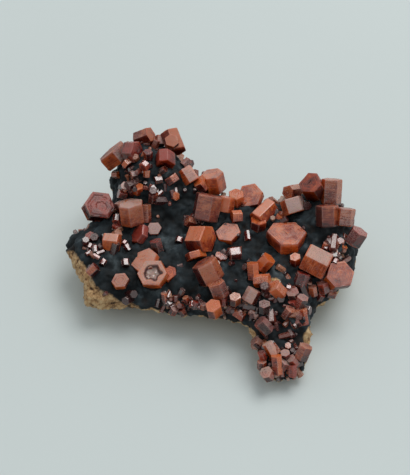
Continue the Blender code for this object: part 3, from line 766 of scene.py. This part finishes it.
def grown_crystal(mesh, layers, row, rng, look):
    """Adds one crystal with its growth steps, rounded edges and chips to a bmesh. Its marks, one
    number for each vertex, tell its material where it is bright, where dust and painted sheen lie,
    where it is thin, where painted highlights run along its edges, where painted shade falls low
    down and away from the light, and where it is sunk."""
    right_mm, up_mm, width, length, turn, facing, spin = row
    width *= MM
    length *= MM
    rotation = crystal_frame(turn, facing, spin)
    centre = look.centre or seat(right_mm, up_mm, width, length, rotation)
    reach = width / 2 * math.cos(math.radians(30))
    walls = [reach * (1 + rng.uniform(-UNEVENNESS, UNEVENNESS)) for _ in range(6)]
    grain = max(FACE_GRAIN * FINEST_GRAIN, min(FACE_GRAIN, width / GRAINS_ACROSS))
    tint, dust_and_sheen_amount = rng.random(), rng.uniform(*DUST_AND_SHEEN_BY_CHANCE)
    tint = tint if look.bright is None else look.bright
    dust_and_sheen_amount = dust_and_sheen_amount if look.dust is None else look.dust
    seed = Vector([rng.uniform(0, NOISE_SPAN) for _ in range(3)])
    end = end_profile(length, width, reach, min(walls), grain)
    middle = [(z, 0.0) for z in spaced(-end[0][0], end[0][0], grain)[1:-1]]
    profile = [(-z, inset) for z, inset in reversed(end)] + middle + end
    shares = side_shares(width / 2, grain)
    normals = [Vector((math.cos(math.radians(60 * side + 30)),
                       math.sin(math.radians(60 * side + 30)), 0.0)) for side in range(6)]
    tones = [rng.random() for _ in range(8)]
    rings = []
    for height, inset in profile:
        ring = []
        upper_end = math.copysign(1.0, height)
        on_end = inset > 0.0
        corners = [wall_corner(60 * side - 30, walls[side - 1] - inset, walls[side] - inset)
                   for side in range(6)]
        from_end = inset if on_end else length / 2 - abs(height)
        for side in range(6):
            normal = Vector((0.0, 0.0, upper_end)) if on_end else normals[side]
            outward = rotation @ normal
            tone = tones[6 + (upper_end > 0)] if on_end else tones[side]
            # Dust and painted sheen on the faces that look up
            dust = dust_and_sheen_amount * float(ease(outward.z, 0.1, 0.9))
            # How far the face is turned from the light: for painted shade and the painted glow
            away = float(ease(outward.dot(LIT_SIDE), 0.4, -0.6))
            # A bright enough face that is turned from the light gets a painted glow along its thin
            # edges
            glowing = away * float(ease(tone + 0.4 * tint, 0.6, 0.9))
            for share in shares:
                flat = corners[side].lerp(corners[(side + 1) % 6], share)
                place = Vector((flat.x, flat.y, height))
                across = (share - 0.5) * width / 2
                from_corner = min(share, 1.0 - share) * width / 2
                edge = max(from_end, 0.0) if on_end else max(min(from_corner, from_end), 0.0)
                # The third coordinate keeps each face's pattern apart from the others
                if on_end:
                    growth = Vector((flat.x / MM, inset / MM, 30.0 + 3.0 * upper_end))
                    step = Vector((flat.x / MM, inset / MM, flat.y / MM)) * Vector(END_STEPS_PER_MM)
                else:
                    growth = Vector((across / MM, height / MM, 3.0 * side))
                    step = growth * Vector((*WALL_STEPS_PER_MM, 1.0))
                push = STEP_RISE * look.steps * terrace(step + seed)
                push -= chipped(place, edge, seed)
                depth = 0.0
                if look.hollow and on_end and height > 0:
                    depth = sunk_share(place, inset / width, look.hollow, seed)
                    rough = abs(noise.noise(place / MM * ROUGH_PER_MM + seed))
                    push -= depth * (HOLLOW_DEPTH + HOLLOW_ROUGHNESS * rough)
                place += normal * push
                if share == 0.0:
                    inward = Vector((-place.x, -place.y, 0.0)).normalized()
                    place += inward * EDGE_ROUNDING * CORNER_DRAWN_IN
                turned = rotation @ place
                thin = 1.0 - min(1.0, edge / (THIN_SHARE * width))
                # Closeness to an edge: for the painted rim highlights
                rim = 1.0 - min(1.0, edge / (RIM_WIDTH + RIM_SHARE * width))
                # How low down on the crystal the place is: for painted shade
                low = 0.5 - turned.z / (width + length)
                vertex = mesh.verts.new(centre + turned)
                vertex[layers["growth"]] = growth
                marks = (tint, tone, dust * (1.0 - depth), rim, thin * glowing, away, depth,
                         look.dull, low)
                for label, value in zip(MARKS, marks):
                    vertex[layers[label]] = value
                ring.append(vertex)
        rings.append(ring)
    close_rings(mesh, rings)


def vanadinite_material(name, deep, body, bright, thin, pale_dust_and_highlight):
    """Vanadinite: a heavy lead mineral with a resinous to adamantine shine. Its red and orange
    come from inside; the glow of its thin edges is painted into the colour. A dusty, etched skin
    with a painted sheen lies on the faces that look up, painted highlights run along the edges,
    and painted shade darkens the faces low down and those turned from the light."""
    material, tree = new_material(name)
    place = add_node(tree, "ShaderNodeTexCoord", out="Object")
    in_mm = add_node(tree, "ShaderNodeVectorMath", {0: place, 3: 1.0 / MM}, operation="SCALE")
    marks = {label: add_node(tree, "ShaderNodeAttribute", attribute_name=label, out="Fac")
             for label in MARKS}
    # Growth lines drawn out along each face, and zones, specks and patches through the mineral
    growth = add_node(tree, "ShaderNodeAttribute", attribute_name="growth", out="Vector")
    growth = add_node(tree, "ShaderNodeVectorMath", {0: growth, 1: (0.3, 3.0, 1.0)},
                      operation="MULTIPLY")
    lines = add_node(tree, "ShaderNodeTexNoise", {"Vector": growth, "Scale": 1.0,
                     "Detail": 3.0, "Roughness": 0.7})
    zones = add_node(tree, "ShaderNodeTexNoise", {"Vector": in_mm, "Scale": 1 / 4.0,
                     "Detail": 5.0, "Roughness": 0.7})
    speckle = add_node(tree, "ShaderNodeTexNoise", {"Vector": in_mm, "Scale": 1 / 0.35,
                       "Detail": 2.0, "Roughness": 0.7})
    patches = add_node(tree, "ShaderNodeTexNoise", {"Vector": in_mm, "Scale": 1 / 2.4,
                       "Detail": 5.0, "Roughness": 0.62, "W": 8.0}, noise_dimensions="4D")
    # The clean mineral: zoned and streaked, with painted shade low down on each crystal and on
    # faces turned away from the light
    zones = add_node(tree, "ShaderNodeMapRange", {0: zones, 3: -0.75, 4: 0.85})
    streaked = add_node(tree, "ShaderNodeMath", {0: lines, 1: 0.9, 2: zones},
                        operation="MULTIPLY_ADD")
    zoned = streaked
    for label, share in (("tint", 0.3), ("tone", 0.35), ("away", -0.3), ("low", -0.9)):
        zoned = add_node(tree, "ShaderNodeMath", {0: marks[label], 1: share, 2: zoned},
                         operation="MULTIPLY_ADD")
    colour = add_node(tree, "ShaderNodeValToRGB", {0: zoned}, (
        (0.06, deep), (0.35, body), (0.64, bright)))
    colour.node.color_ramp.interpolation = "EASE"
    # Painted glow where it is thin
    glow = add_node(tree, "ShaderNodeMapRange", {0: streaked, 1: 0.2, 2: 0.7, 3: 0.35, 4: 1.25})
    glow = add_node(tree, "ShaderNodeMath", {0: marks["glow"], 1: glow}, operation="MULTIPLY")
    # Dust and etching with a painted sheen: thickest high up, broken up by grit, with painted
    # highlights along the rims and dark pores
    grit = add_node(tree, "ShaderNodeMath", {0: lines, 1: 0.6, 2: speckle},
                    operation="MULTIPLY_ADD")
    grit = add_node(tree, "ShaderNodeMath", {0: patches, 1: 0.6, 2: grit},
                    operation="MULTIPLY_ADD")
    dust_and_sheen_level = add_node(tree, "ShaderNodeMath", {0: marks["dust"], 1: 0.45, 2: grit},
                       operation="MULTIPLY_ADD")
    dust_and_sheen_veil = add_node(tree, "ShaderNodeMapRange", {0: dust_and_sheen_level, 1: 1.3, 2: 1.74, 3: 0.0, 4: 0.85})
    thinner = add_node(tree, "ShaderNodeMapRange", {0: marks["low"], 1: 0.3, 2: 0.9, 3: 1.0,
                       4: 0.3})
    dust_and_sheen_veil = add_node(tree, "ShaderNodeMath", {0: dust_and_sheen_veil, 1: thinner}, operation="MULTIPLY")
    # Painted highlights along the rims, stronger in patches
    painted_light = add_node(tree, "ShaderNodeMapRange", {0: patches, 1: 0.42, 2: 0.68, 3: 0.08, 4: 0.45})
    edge = add_node(tree, "ShaderNodeMath", {0: marks["rim"], 1: painted_light}, operation="MULTIPLY")
    pores = add_node(tree, "ShaderNodeMapRange", {0: speckle, 1: 0.54, 2: 0.66, 3: 0.0, 4: 0.5})
    pores = add_node(tree, "ShaderNodeMath", {0: dust_and_sheen_veil, 1: pores}, operation="MULTIPLY")
    # A hollow end has painted shade on its walls and a dusty base
    painted_pit_shade = add_node(tree, "ShaderNodeMapRange", {0: marks["pit"], 2: 0.3})
    base = add_node(tree, "ShaderNodeMapRange", {0: marks["pit"], 1: 0.7, 4: 0.7})
    for share, hex_colour in ((glow, thin), (dust_and_sheen_veil, pale_dust_and_highlight), (edge, pale_dust_and_highlight), (painted_pit_shade, deep),
                              (base, pale_dust_and_highlight), (pores, deep)):
        colour = add_node(tree, "ShaderNodeMix", {0: share, 6: colour, 7: linear(hex_colour)},
                          data_type="RGBA", out=2)
    dullness = add_node(tree, "ShaderNodeMath", {0: patches, 1: 0.35, 2: dust_and_sheen_veil},
                        operation="MULTIPLY_ADD")
    dullness = add_node(tree, "ShaderNodeMapRange", {0: dullness, 1: 0.1, 2: 0.8, 3: 0.1,
                        4: 0.55})
    dullness = add_node(tree, "ShaderNodeMath", {0: marks["dull"], 1: 0.4, 2: dullness},
                        operation="MULTIPLY_ADD")
    shine = add_node(tree, "ShaderNodeMath", {0: marks["away"], 1: -0.3, 2: 0.55},
                     operation="MULTIPLY_ADD")
    shine = add_node(tree, "ShaderNodeMath", {0: marks["dull"], 1: -0.35, 2: shine},
                     operation="MULTIPLY_ADD", use_clamp=True)
    bump = add_node(tree, "ShaderNodeBump", {"Height": grit, "Strength": 0.5,
                    "Distance": 0.1 * MM})
    shader = add_node(tree, "ShaderNodeBsdfPrincipled", {
        "Base Color": colour, "Roughness": dullness, "Specular IOR Level": shine,
        "Normal": bump, "IOR": 2.1, "Subsurface Weight": 0.25,
        "Subsurface Radius": (1.0, 0.22, 0.08), "Subsurface Scale": 2.0 * MM})
    add_node(tree, "ShaderNodeOutputMaterial", {"Surface": shader})
    return material


# Each tint's deep, middle and bright body, the painted glow of its thin edges, and its pale colour
# for dust, painted sheen and painted rim highlights
TINTS = {
    ORANGE: ("#480E07", "#953415", "#CC6630", "#DE6622", "#CAA89C"),
    RED: ("#280708", "#681813", "#983627", "#C04A22", "#B4938A"),
    BROWN: ("#3A100D", "#7A3021", "#B0613F", "#CE6630", "#C2A39B"),
}
minerals = {name: vanadinite_material(name, *colours) for name, colours in TINTS.items()}

# Each crystal's look: how bright its body is, how much pale dust and painted sheen lie on it, from
# 0 to about 2, how dull its faces are, how high its growth steps are beside the usual, the rim
# round a hollow end as a share of its width, and its centre if its row doesn't seat it. None leaves
# a value to chance.
Look = namedtuple("Look", "bright dust dull steps hollow centre",
                  defaults=(None, None, 0.2, 1.0, None, None))
LOOKS = {
    "crystal_back_left_block": (Look(-0.1, 0.9, 0.9),),
    "crystal_back_left_outer": (Look(0.8, 0.2),),
    "crystal_back_left_leaning": (Look(0.7, 0.0, 0.2),),
    "crystal_back_left_inner_small": (Look(0.2, 0.1),),
    "crystals_back_left_top": (Look(0.9, 0.7, 0.8), Look(0.9, 1.6, 0.4)),
    "crystals_back_left_rim": (Look(0.8, 0.7, 0.35), Look(0.7, 0.1, 1.0), Look(0.5, 0.1, 0.7)),
    "crystal_back_left_inner": (Look(0.9, 0.4, 0.8),),
    "crystal_back_ridge_low": (Look(0.3, 0.7),),
    "crystals_back_ridge": (Look(0.7, 1.0, 0.35), Look(), Look(0.8, 0.8, 0.35)),
    "crystals_centre_block": (Look(0.3, 0.4, 0.35),),
    "crystals_centre_ridge": (Look(), Look(), Look(0.3, 0.5, 0.35)),
    "crystals_centre_tablet": (Look(1.0, 0.1), Look(0.9, 0.8, 0.35)),
    "crystals_centre_pair": (Look(0.6, 0.4, 0.35), Look(0.8, 0.1)),
    "crystals_front_centre": (Look(0.7, 0.5, 0.35),),
    "crystal_front_edge": (Look(0.9, 0.3),),
    "crystal_left_tablet": (Look(0.5, 0.5, 0.5, steps=7.0),),
    "crystals_left_block": (Look(0.7, 1.2, 0.35), Look(0.9, 0.9)),
    "crystals_left_pair": (Look(0.9, 1.4), Look(1.0, 0.1, 0.5)),
    "crystal_left_stub": (Look(0.8, 1.0, 0.35),),
    "crystals_hopper": (Look(1.0, 1.1, 0.35, hollow=0.15), Look(1.0, 1.0, 0.35),
                        Look(0.8, 0.0, 0.8)),
    "crystal_front_left_tablet": (Look(0.9, 0.8, 0.7),),
    "crystal_right_tablet": (Look(0.5, 0.6, 0.35),),
    "crystal_right_inner": (Look(0.3, 2.0, 0.35),),
    "crystal_right_inner_back": (Look(0.8, 0.9),),
    "crystal_right_back": (Look(-0.7, 0.1, 0.8),),
    "crystals_right_pair": (Look(0.2, 0.0, 0.5), Look(0.6, 0.9)),
    "crystal_right_end": (Look(1.0, 0.7),),
    "crystals_right_front": (Look(0.5, 1.5, 0.8), Look(0.3, 0.4, 0.35)),
    "crystals_front_middle": (Look(1.3, 0.0), Look(1.3, 0.0), Look(), Look(1.0, 0.8)),
    "crystals_centre_prism": (Look(0.9, 0.5, 0.35), Look(0.2, 0.2)),
    "crystals_spur_root": (Look(0.1, 1.0), Look(0.4, 1.2)),
    "crystal_spur_shoulder": (Look(0.5, 1.4),),
    "crystal_spur_left_upper": (Look(0.0, 0.9),),
    "crystal_spur_left": (Look(0.0, 0.8, 0.35),),
    "crystals_spur_tip": (Look(1.0, 2.2), Look(1.0, 0.2), Look(0.0, 1.1)),
    "crystal_spur_right": (Look(0.8, 0.75, 0.35),),
    "crystals_spur_end": (Look(0.4, 1.4, 0.35), Look(0.2, 1.2, 0.35), Look(0.5, 1.3, 0.35)),
}


def crystal_piece(name, rows, seeds, looks, material):
    """One piece from crystals of one tint: a row, a seed and a look for each."""
    mesh = bmesh.new()
    layers = {"growth": mesh.verts.layers.float_vector.new("growth")}
    for label in MARKS:
        layers[label] = mesh.verts.layers.float.new(label)
    for row, seed, look in zip(rows, seeds, looks):
        grown_crystal(mesh, layers, row, random.Random(seed), look)
    piece = add_mesh(name, mesh)
    keep_in_box(piece.data)
    piece.data.materials.append(material)
    piece.data.shade_smooth()
    piece.data.set_sharp_from_angle(angle=SHARP_ANGLE)
    return piece


for number, (solid, mineral, rows) in enumerate(CRYSTALS):
    seeds = [number * SEEDS_PER_SOLID + index for index in range(len(rows))]
    looks = list(LOOKS.get(solid, ()))
    looks += [Look()] * (len(rows) - len(looks))
    piece = crystal_piece(solid.replace("crystal", "vanadinite"), rows, seeds, looks,
                          minerals[mineral])
    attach(piece, "root")
    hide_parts(solid)


# ---------------------------------------------------------------------------------------------
# Smaller vanadinite crystals of 2 to 4 mm, grown into the crust between the large ones and along
# the rim. They are the same mineral, in a mixture of its three tints.
# ---------------------------------------------------------------------------------------------
STANDING_OUT = 0.3
REACH_TO_ROCK = 0.55

# Looks by place in the list; the others are left to chance
SMALL_LOOKS = {
    0: Look(0.2, 0.0), 1: Look(0.5, 1.0), 2: Look(dust=1.2), 3: Look(dust=1.3), 5: Look(0.3, 1.6),
    6: Look(0.9, 0.0), 17: Look(0.1, 0.3), 28: Look(0.2, 0.8), 30: Look(0.1, 0.8),
    35: Look(0.2, 0.9), 36: Look(0.1, 0.9), 39: Look(0.1, 0.9), 40: Look(0.2, 1.2),
    42: Look(0.1, 0.7), 44: Look(0.2, 0.9),
}


def standing(right_mm, up_mm, width):
    """The centre of a crystal rooted in the rock's surface where its line of sight meets it."""
    aim, sight = line_of_sight(right_mm, up_mm)
    met, surface, *_ = rock.ray_cast(EYE, sight)
    if not met:
        surface = rock.closest_point_on_mesh(aim)[1]
    return surface - sight * STANDING_OUT * width


def rooted(row):
    """A small crystal's centre. Where the rim falls away from under it, it stands lower."""
    right_mm, up_mm, width, length, turn, facing, spin = row
    centre = seat(right_mm, up_mm, width * MM, length * MM, crystal_frame(turn, facing, spin))
    if (rock.closest_point_on_mesh(centre)[1] - centre).length < REACH_TO_ROCK * width * MM:
        return centre
    return standing(right_mm, up_mm, width * MM)


bpy.context.view_layer.update()
for number, mineral in enumerate((ORANGE, RED, BROWN)):
    chosen = range(number, len(SMALL_CRYSTALS), 3)
    rows = [SMALL_CRYSTALS[index] for index in chosen]
    seeds = [len(CRYSTALS) * SEEDS_PER_SOLID + index for index in chosen]
    looks = [SMALL_LOOKS.get(index, Look())._replace(centre=rooted(row))
             for index, row in zip(chosen, rows)]
    piece = crystal_piece(f"small_{mineral}", rows, seeds, looks, minerals[mineral])
    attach(piece, "root")


# ---------------------------------------------------------------------------------------------
# The druse: crystals of the same mineral, most of them 1 to 2 mm across, that crowd the crust in
# patches and stand out of it at all angles.
# ---------------------------------------------------------------------------------------------
DRUSE_CLOSEST = 1.2 * MM
DRUSE_PER_SQUARE_METRE = 550000.0
DRUSE_WIDTHS_MM = (0.9, 2.9)
DRUSE_LEAN = math.radians(75)
DRUSE_STRETCH = (0.8, 1.8)
DRUSE_SEED = 12
STRETCH_SEED = 9
SIZE_SEED = 5
SHADE_SEED = 21

# Above 1, it makes small crystals more common than large ones
DRUSE_SKEW = 2.2


def druse_template():
    """One small six-sided crystal of unit width, with its ends bevelled."""
    mesh = bmesh.new()
    heights_and_radii = ((-0.5, 0.47), (-0.46, 0.5), (0.66, 0.5), (0.7, 0.46))
    rings = [[mesh.verts.new((radius * math.cos(math.radians(60 * side)),
                              radius * math.sin(math.radians(60 * side)), height))
              for side in range(6)] for height, radius in heights_and_radii]
    close_rings(mesh, rings)
    return add_mesh("druse_template", mesh)


def druse_tree(template, material):
    """Scatters the template over the crowded parts of a surface, leaning from its normal."""
    tree, inside = new_group("druse", ("Closest", "Most", "Narrowest", "Widest", "Lean"), ("Seed",))
    crowd = add_node(tree, "GeometryNodeInputNamedAttribute", {"Name": "crowd"},
                     data_type="FLOAT", out="Attribute")
    points = add_node(tree, "GeometryNodeDistributePointsOnFaces", {
        "Mesh": inside[0], "Distance Min": inside["Closest"], "Density Max": inside["Most"],
        "Density Factor": crowd, "Seed": inside["Seed"]}, distribute_method="POISSON")
    high = inside["Lean"]
    low = add_node(tree, "ShaderNodeMath", {0: high, 1: -1.0}, operation="MULTIPLY")
    low = add_node(tree, "ShaderNodeCombineXYZ", {0: low, 1: low, 2: 0.0})
    high = add_node(tree, "ShaderNodeCombineXYZ", {0: high, 1: high, 2: math.tau})
    lean = add_node(tree, "FunctionNodeRandomValue", {0: low, 1: high, "Seed": inside["Seed"]},
                    data_type="FLOAT_VECTOR")
    lean = add_node(tree, "FunctionNodeEulerToRotation", {0: lean})
    turned = add_node(tree, "FunctionNodeRotateRotation", {
        "Rotation": points.node.outputs["Rotation"], "Rotate By": lean}, rotation_space="LOCAL")
    size, shade = (add_node(tree, "FunctionNodeRandomValue", {2: 0.0, 3: 1.0, "Seed": seed}, out=1)
                   for seed in (SIZE_SEED, SHADE_SEED))
    stretch = add_node(tree, "FunctionNodeRandomValue", {
        2: DRUSE_STRETCH[0], 3: DRUSE_STRETCH[1], "Seed": STRETCH_SEED}, out=1)
    skewed = add_node(tree, "ShaderNodeMath", {0: size, 1: DRUSE_SKEW}, operation="POWER")
    width = add_node(tree, "ShaderNodeMapRange", {0: skewed, 3: inside["Narrowest"],
                     4: inside["Widest"]})
    tall = add_node(tree, "ShaderNodeMath", {0: width, 1: stretch}, operation="MULTIPLY")
    scale = add_node(tree, "ShaderNodeCombineXYZ", {0: width, 1: width, 2: tall})
    source = add_node(tree, "GeometryNodeObjectInfo", {"Object": template}, out="Geometry")
    placed = add_node(tree, "GeometryNodeInstanceOnPoints", {
        "Points": points, "Instance": source, "Rotation": turned, "Scale": scale})
    tinted = add_node(tree, "GeometryNodeStoreNamedAttribute", {
        "Geometry": placed, "Name": "tint", "Value": shade}, data_type="FLOAT", domain="INSTANCE")
    real = add_node(tree, "GeometryNodeRealizeInstances", {0: tinted})
    # How far each face looks up: for its dust and painted sheen
    normal = add_node(tree, "GeometryNodeInputNormal")
    upward = add_node(tree, "ShaderNodeSeparateXYZ", {0: normal}, out="Z")
    marked_dust_and_sheen = add_node(tree, "GeometryNodeStoreNamedAttribute", {
        "Geometry": real, "Name": "dust", "Value": upward}, data_type="FLOAT", domain="FACE")
    coated = add_node(tree, "GeometryNodeSetMaterial", {"Geometry": marked_dust_and_sheen, "Material": material})
    add_node(tree, "NodeGroupOutput", {0: coated})
    return tree


def druse_material():
    """Druse of the same mineral: from near black red to orange, with clean bright faces and a pale
    veil of dust and painted sheen on the faces that look up.
    """
    material, tree = new_material("vanadinite_druse")
    tint, upward = (add_node(tree, "ShaderNodeAttribute", attribute_name=label, out="Fac")
                    for label in ("tint", "dust"))
    colour = add_node(tree, "ShaderNodeValToRGB", {0: tint}, (
        (0.0, "#240C0E"), (0.4, "#521A18"), (0.7, "#863A28"), (0.88, "#A85F3C"), (1.0, "#B08A74")))
    place = add_node(tree, "ShaderNodeTexCoord", out="Object")
    speckle = add_node(tree, "ShaderNodeTexNoise", {"Vector": place, "Scale": 1 / (0.5 * MM),
                       "Detail": 2.0})
    mottle = add_node(tree, "ShaderNodeMapRange", {0: speckle, 3: 0.7, 4: 1.25})
    colour = add_node(tree, "ShaderNodeVectorMath", {0: colour, 3: mottle}, operation="SCALE")
    dust_and_sheen_speckle = add_node(tree, "ShaderNodeMath", {0: speckle, 1: upward}, operation="MULTIPLY")
    dust_and_sheen_veil = add_node(tree, "ShaderNodeMapRange", {0: dust_and_sheen_speckle, 1: 0.4, 2: 0.62, 3: 0.0, 4: 0.5})
    colour = add_node(tree, "ShaderNodeMix", {0: dust_and_sheen_veil, 6: colour, 7: linear("#B49A92")},
                      data_type="RGBA", out=2)
    gloss = add_node(tree, "ShaderNodeMapRange", {0: speckle, 3: 0.15, 4: 0.4})
    shader = add_node(tree, "ShaderNodeBsdfPrincipled", {
        "Base Color": colour, "Roughness": gloss, "IOR": 2.2})
    add_node(tree, "ShaderNodeOutputMaterial", {"Surface": shader})
    return material


druse_crystal = druse_template()
druse = add_object("druse", rock.data.copy())
run_tree(druse, druse_tree(druse_crystal, druse_material()), {
    "Closest": DRUSE_CLOSEST, "Most": DRUSE_PER_SQUARE_METRE,
    "Narrowest": DRUSE_WIDTHS_MM[0] * MM, "Widest": DRUSE_WIDTHS_MM[1] * MM,
    "Lean": DRUSE_LEAN, "Seed": DRUSE_SEED,
})
bpy.data.objects.remove(druse_crystal)
keep_in_box(druse.data)
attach(druse, "root")


# ---------------------------------------------------------------------------------------------
# Clean small crystals of the same mineral that stand among the druse. One broad wall of each has
# no dust on it and mirrors the window toward the display side.
# ---------------------------------------------------------------------------------------------
WINDOW_PLACE = Vector((0.46, 0.58, 1.32))
MIRROR_WALL = math.radians(30)

# Place right of and above the display centre, width and length in mm, and turn
CLEAN_CRYSTALS = (
    (-18.1, 21.4, 3.4, 1.8, 45), (-14.0, 17.2, 2.6, 2.3, 12), (-15.5, 14.5, 2.4, 1.7, 125),
    (-13.6, 13.2, 1.6, 2.3, 40), (-26.5, 5.6, 2.8, 2.4, 84), (-23.2, -3.2, 2.0, 2.4, 125),
    (-24.2, -1.6, 1.8, 1.4, 60), (-33.0, -3.6, 2.0, 2.2, 100), (-31.4, -4.6, 1.6, 2.6, 20),
    (-34.6, -2.6, 1.8, 1.7, 70), (-32.6, -5.8, 1.6, 2.2, 150), (-35.0, -4.6, 1.5, 1.9, 40),
    (-30.6, -7.6, 2.2, 2.0, 60), (-23.8, -7.7, 2.6, 2.2, 100), (-7.7, -0.9, 2.6, 1.8, 75),
    (12.8, 0.4, 2.4, 3.2, 96), (8.8, -4.9, 4.4, 3.3, 6), (28.6, -11.5, 2.6, 2.4, 12),
    (36.2, -3.0, 1.8, 1.8, 70), (38.9, -7.3, 2.2, 1.8, 60), (27.0, -26.3, 1.6, 1.5, 40),
    (-12.0, -17.6, 1.8, 2.8, 105), (-10.9, -17.2, 1.6, 2.4, 75), (-11.8, -19.6, 1.6, 1.6, 100),
    (-9.9, -20.6, 1.5, 1.6, 30), (-6.0, -18.9, 1.6, 1.7, 60), (-3.9, -20.1, 2.0, 1.7, 80),
    (-1.8, -20.7, 1.5, 1.6, 60), (15.6, -17.2, 1.6, 1.6, 30), (24.9, -15.2, 2.4, 1.5, 170),
)


def mirroring(turn):
    """The facing and spin that make a crystal's wall mirror the window, and the turn they fit."""
    normal = (TOWARD + WINDOW_PLACE.normalized()).normalized()
    lean = RIGHT * math.cos(math.radians(turn)) + UP * math.sin(math.radians(turn))
    facing = math.atan2(-lean.dot(normal), TOWARD.dot(normal))
    if facing < 0.0:
        return mirroring(turn + 180)
    flat = crystal_frame(turn, math.degrees(facing), 0).transposed() @ normal
    spin = math.atan2(flat.y, flat.x) - MIRROR_WALL
    return turn, math.degrees(facing), math.degrees(spin)


clean_rows = [(*row[:4], *mirroring(row[4])) for row in CLEAN_CRYSTALS]
clean_looks = [Look(0.0, 0.0, 0.0, centre=standing(row[0], row[1], row[2] * MM))
               for row in CLEAN_CRYSTALS]
clean = crystal_piece("vanadinite_clean", clean_rows, range(len(clean_rows)), clean_looks,
                      minerals[RED])
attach(clean, "root")


# ---------------------------------------------------------------------------------------------
# The stage: a plain pale floor, a large window and a soft room above and behind the specimen, and
# the camera on the display side.
# ---------------------------------------------------------------------------------------------
FLOOR_SIZE = 3.0
WINDOW_SIZE = 0.9
WINDOW_POWER = 10.4
LIT_CENTRE = Vector((0.0, 0.0, 0.01))

# The room is brightest toward one side, and dims smoothly away from it
BRIGHT_SIDE = (0.1, 0.3, 0.95)
DIM_SIDE_STRENGTH = 0.35
BRIGHT_SIDE_STRENGTH = 0.75

# The picture's height, and its scale at the display centre
FRAME_LONG_SIDE_PX = 475
PIXELS_PER_MM = 1 / 0.3


def floor_material():
    """Matt painted board, very slightly uneven in tone."""
    material, tree = new_material("matt_pale_board")
    place = add_node(tree, "ShaderNodeTexCoord", out="Object")
    tone = add_node(tree, "ShaderNodeTexNoise", {"Vector": place, "Scale": 4.0, "Detail": 2.0})
    colour = add_node(tree, "ShaderNodeValToRGB", {0: tone}, ((0.2, "#CED7D7"), (0.8, "#D5DEDE")))
    shader = add_node(tree, "ShaderNodeBsdfPrincipled", {"Base Color": colour, "Roughness": 0.75})
    add_node(tree, "ShaderNodeOutputMaterial", {"Surface": shader})
    return material


floor_mesh = bmesh.new()
bmesh.ops.create_grid(floor_mesh, x_segments=1, y_segments=1, size=FLOOR_SIZE / 2)
floor = add_mesh("floor", floor_mesh)
floor.data.materials.append(floor_material())
floor.location.z = solid_box[0][2]

window = bpy.data.lights.new("window", "AREA")
window.shape = "SQUARE"
window.size = WINDOW_SIZE
window.energy = WINDOW_POWER
window.color = (1.0, 0.99, 0.97)
lamp = add_object("window", window)
lamp.location = WINDOW_PLACE
lamp.rotation_euler = (LIT_CENTRE - WINDOW_PLACE).to_track_quat("-Z", "Y").to_euler()

world = bpy.data.worlds.new("studio")
world.use_nodes = True
room = world.node_tree
direction = add_node(room, "ShaderNodeTexCoord", out="Generated")
towards = add_node(room, "ShaderNodeVectorMath", {0: direction, 1: BRIGHT_SIDE},
                   operation="DOT_PRODUCT", out="Value")
brightness = add_node(room, "ShaderNodeMapRange", {0: towards, 1: -0.3, 2: 1.0,
                      3: DIM_SIDE_STRENGTH, 4: BRIGHT_SIDE_STRENGTH},
                      interpolation_type="SMOOTHSTEP")
room.links.new(brightness, room.nodes["Background"].inputs["Strength"])
room.nodes["Background"].inputs["Color"].default_value = linear("#E2E6E6")
bpy.context.scene.world = world
bpy.context.scene.view_settings.view_transform = "Standard"

camera_data = bpy.data.cameras.new("camera")
camera_data.sensor_width = 36.0
focal_px = DISPLAY_DISTANCE / MM * PIXELS_PER_MM
camera_data.lens = focal_px * camera_data.sensor_width / FRAME_LONG_SIDE_PX
camera_data.clip_start = 0.01
camera = add_object("camera", camera_data)
camera.location = EYE
camera.rotation_euler = (-TOWARD).to_track_quat("-Z", "Y").to_euler()
bpy.context.scene.camera = camera
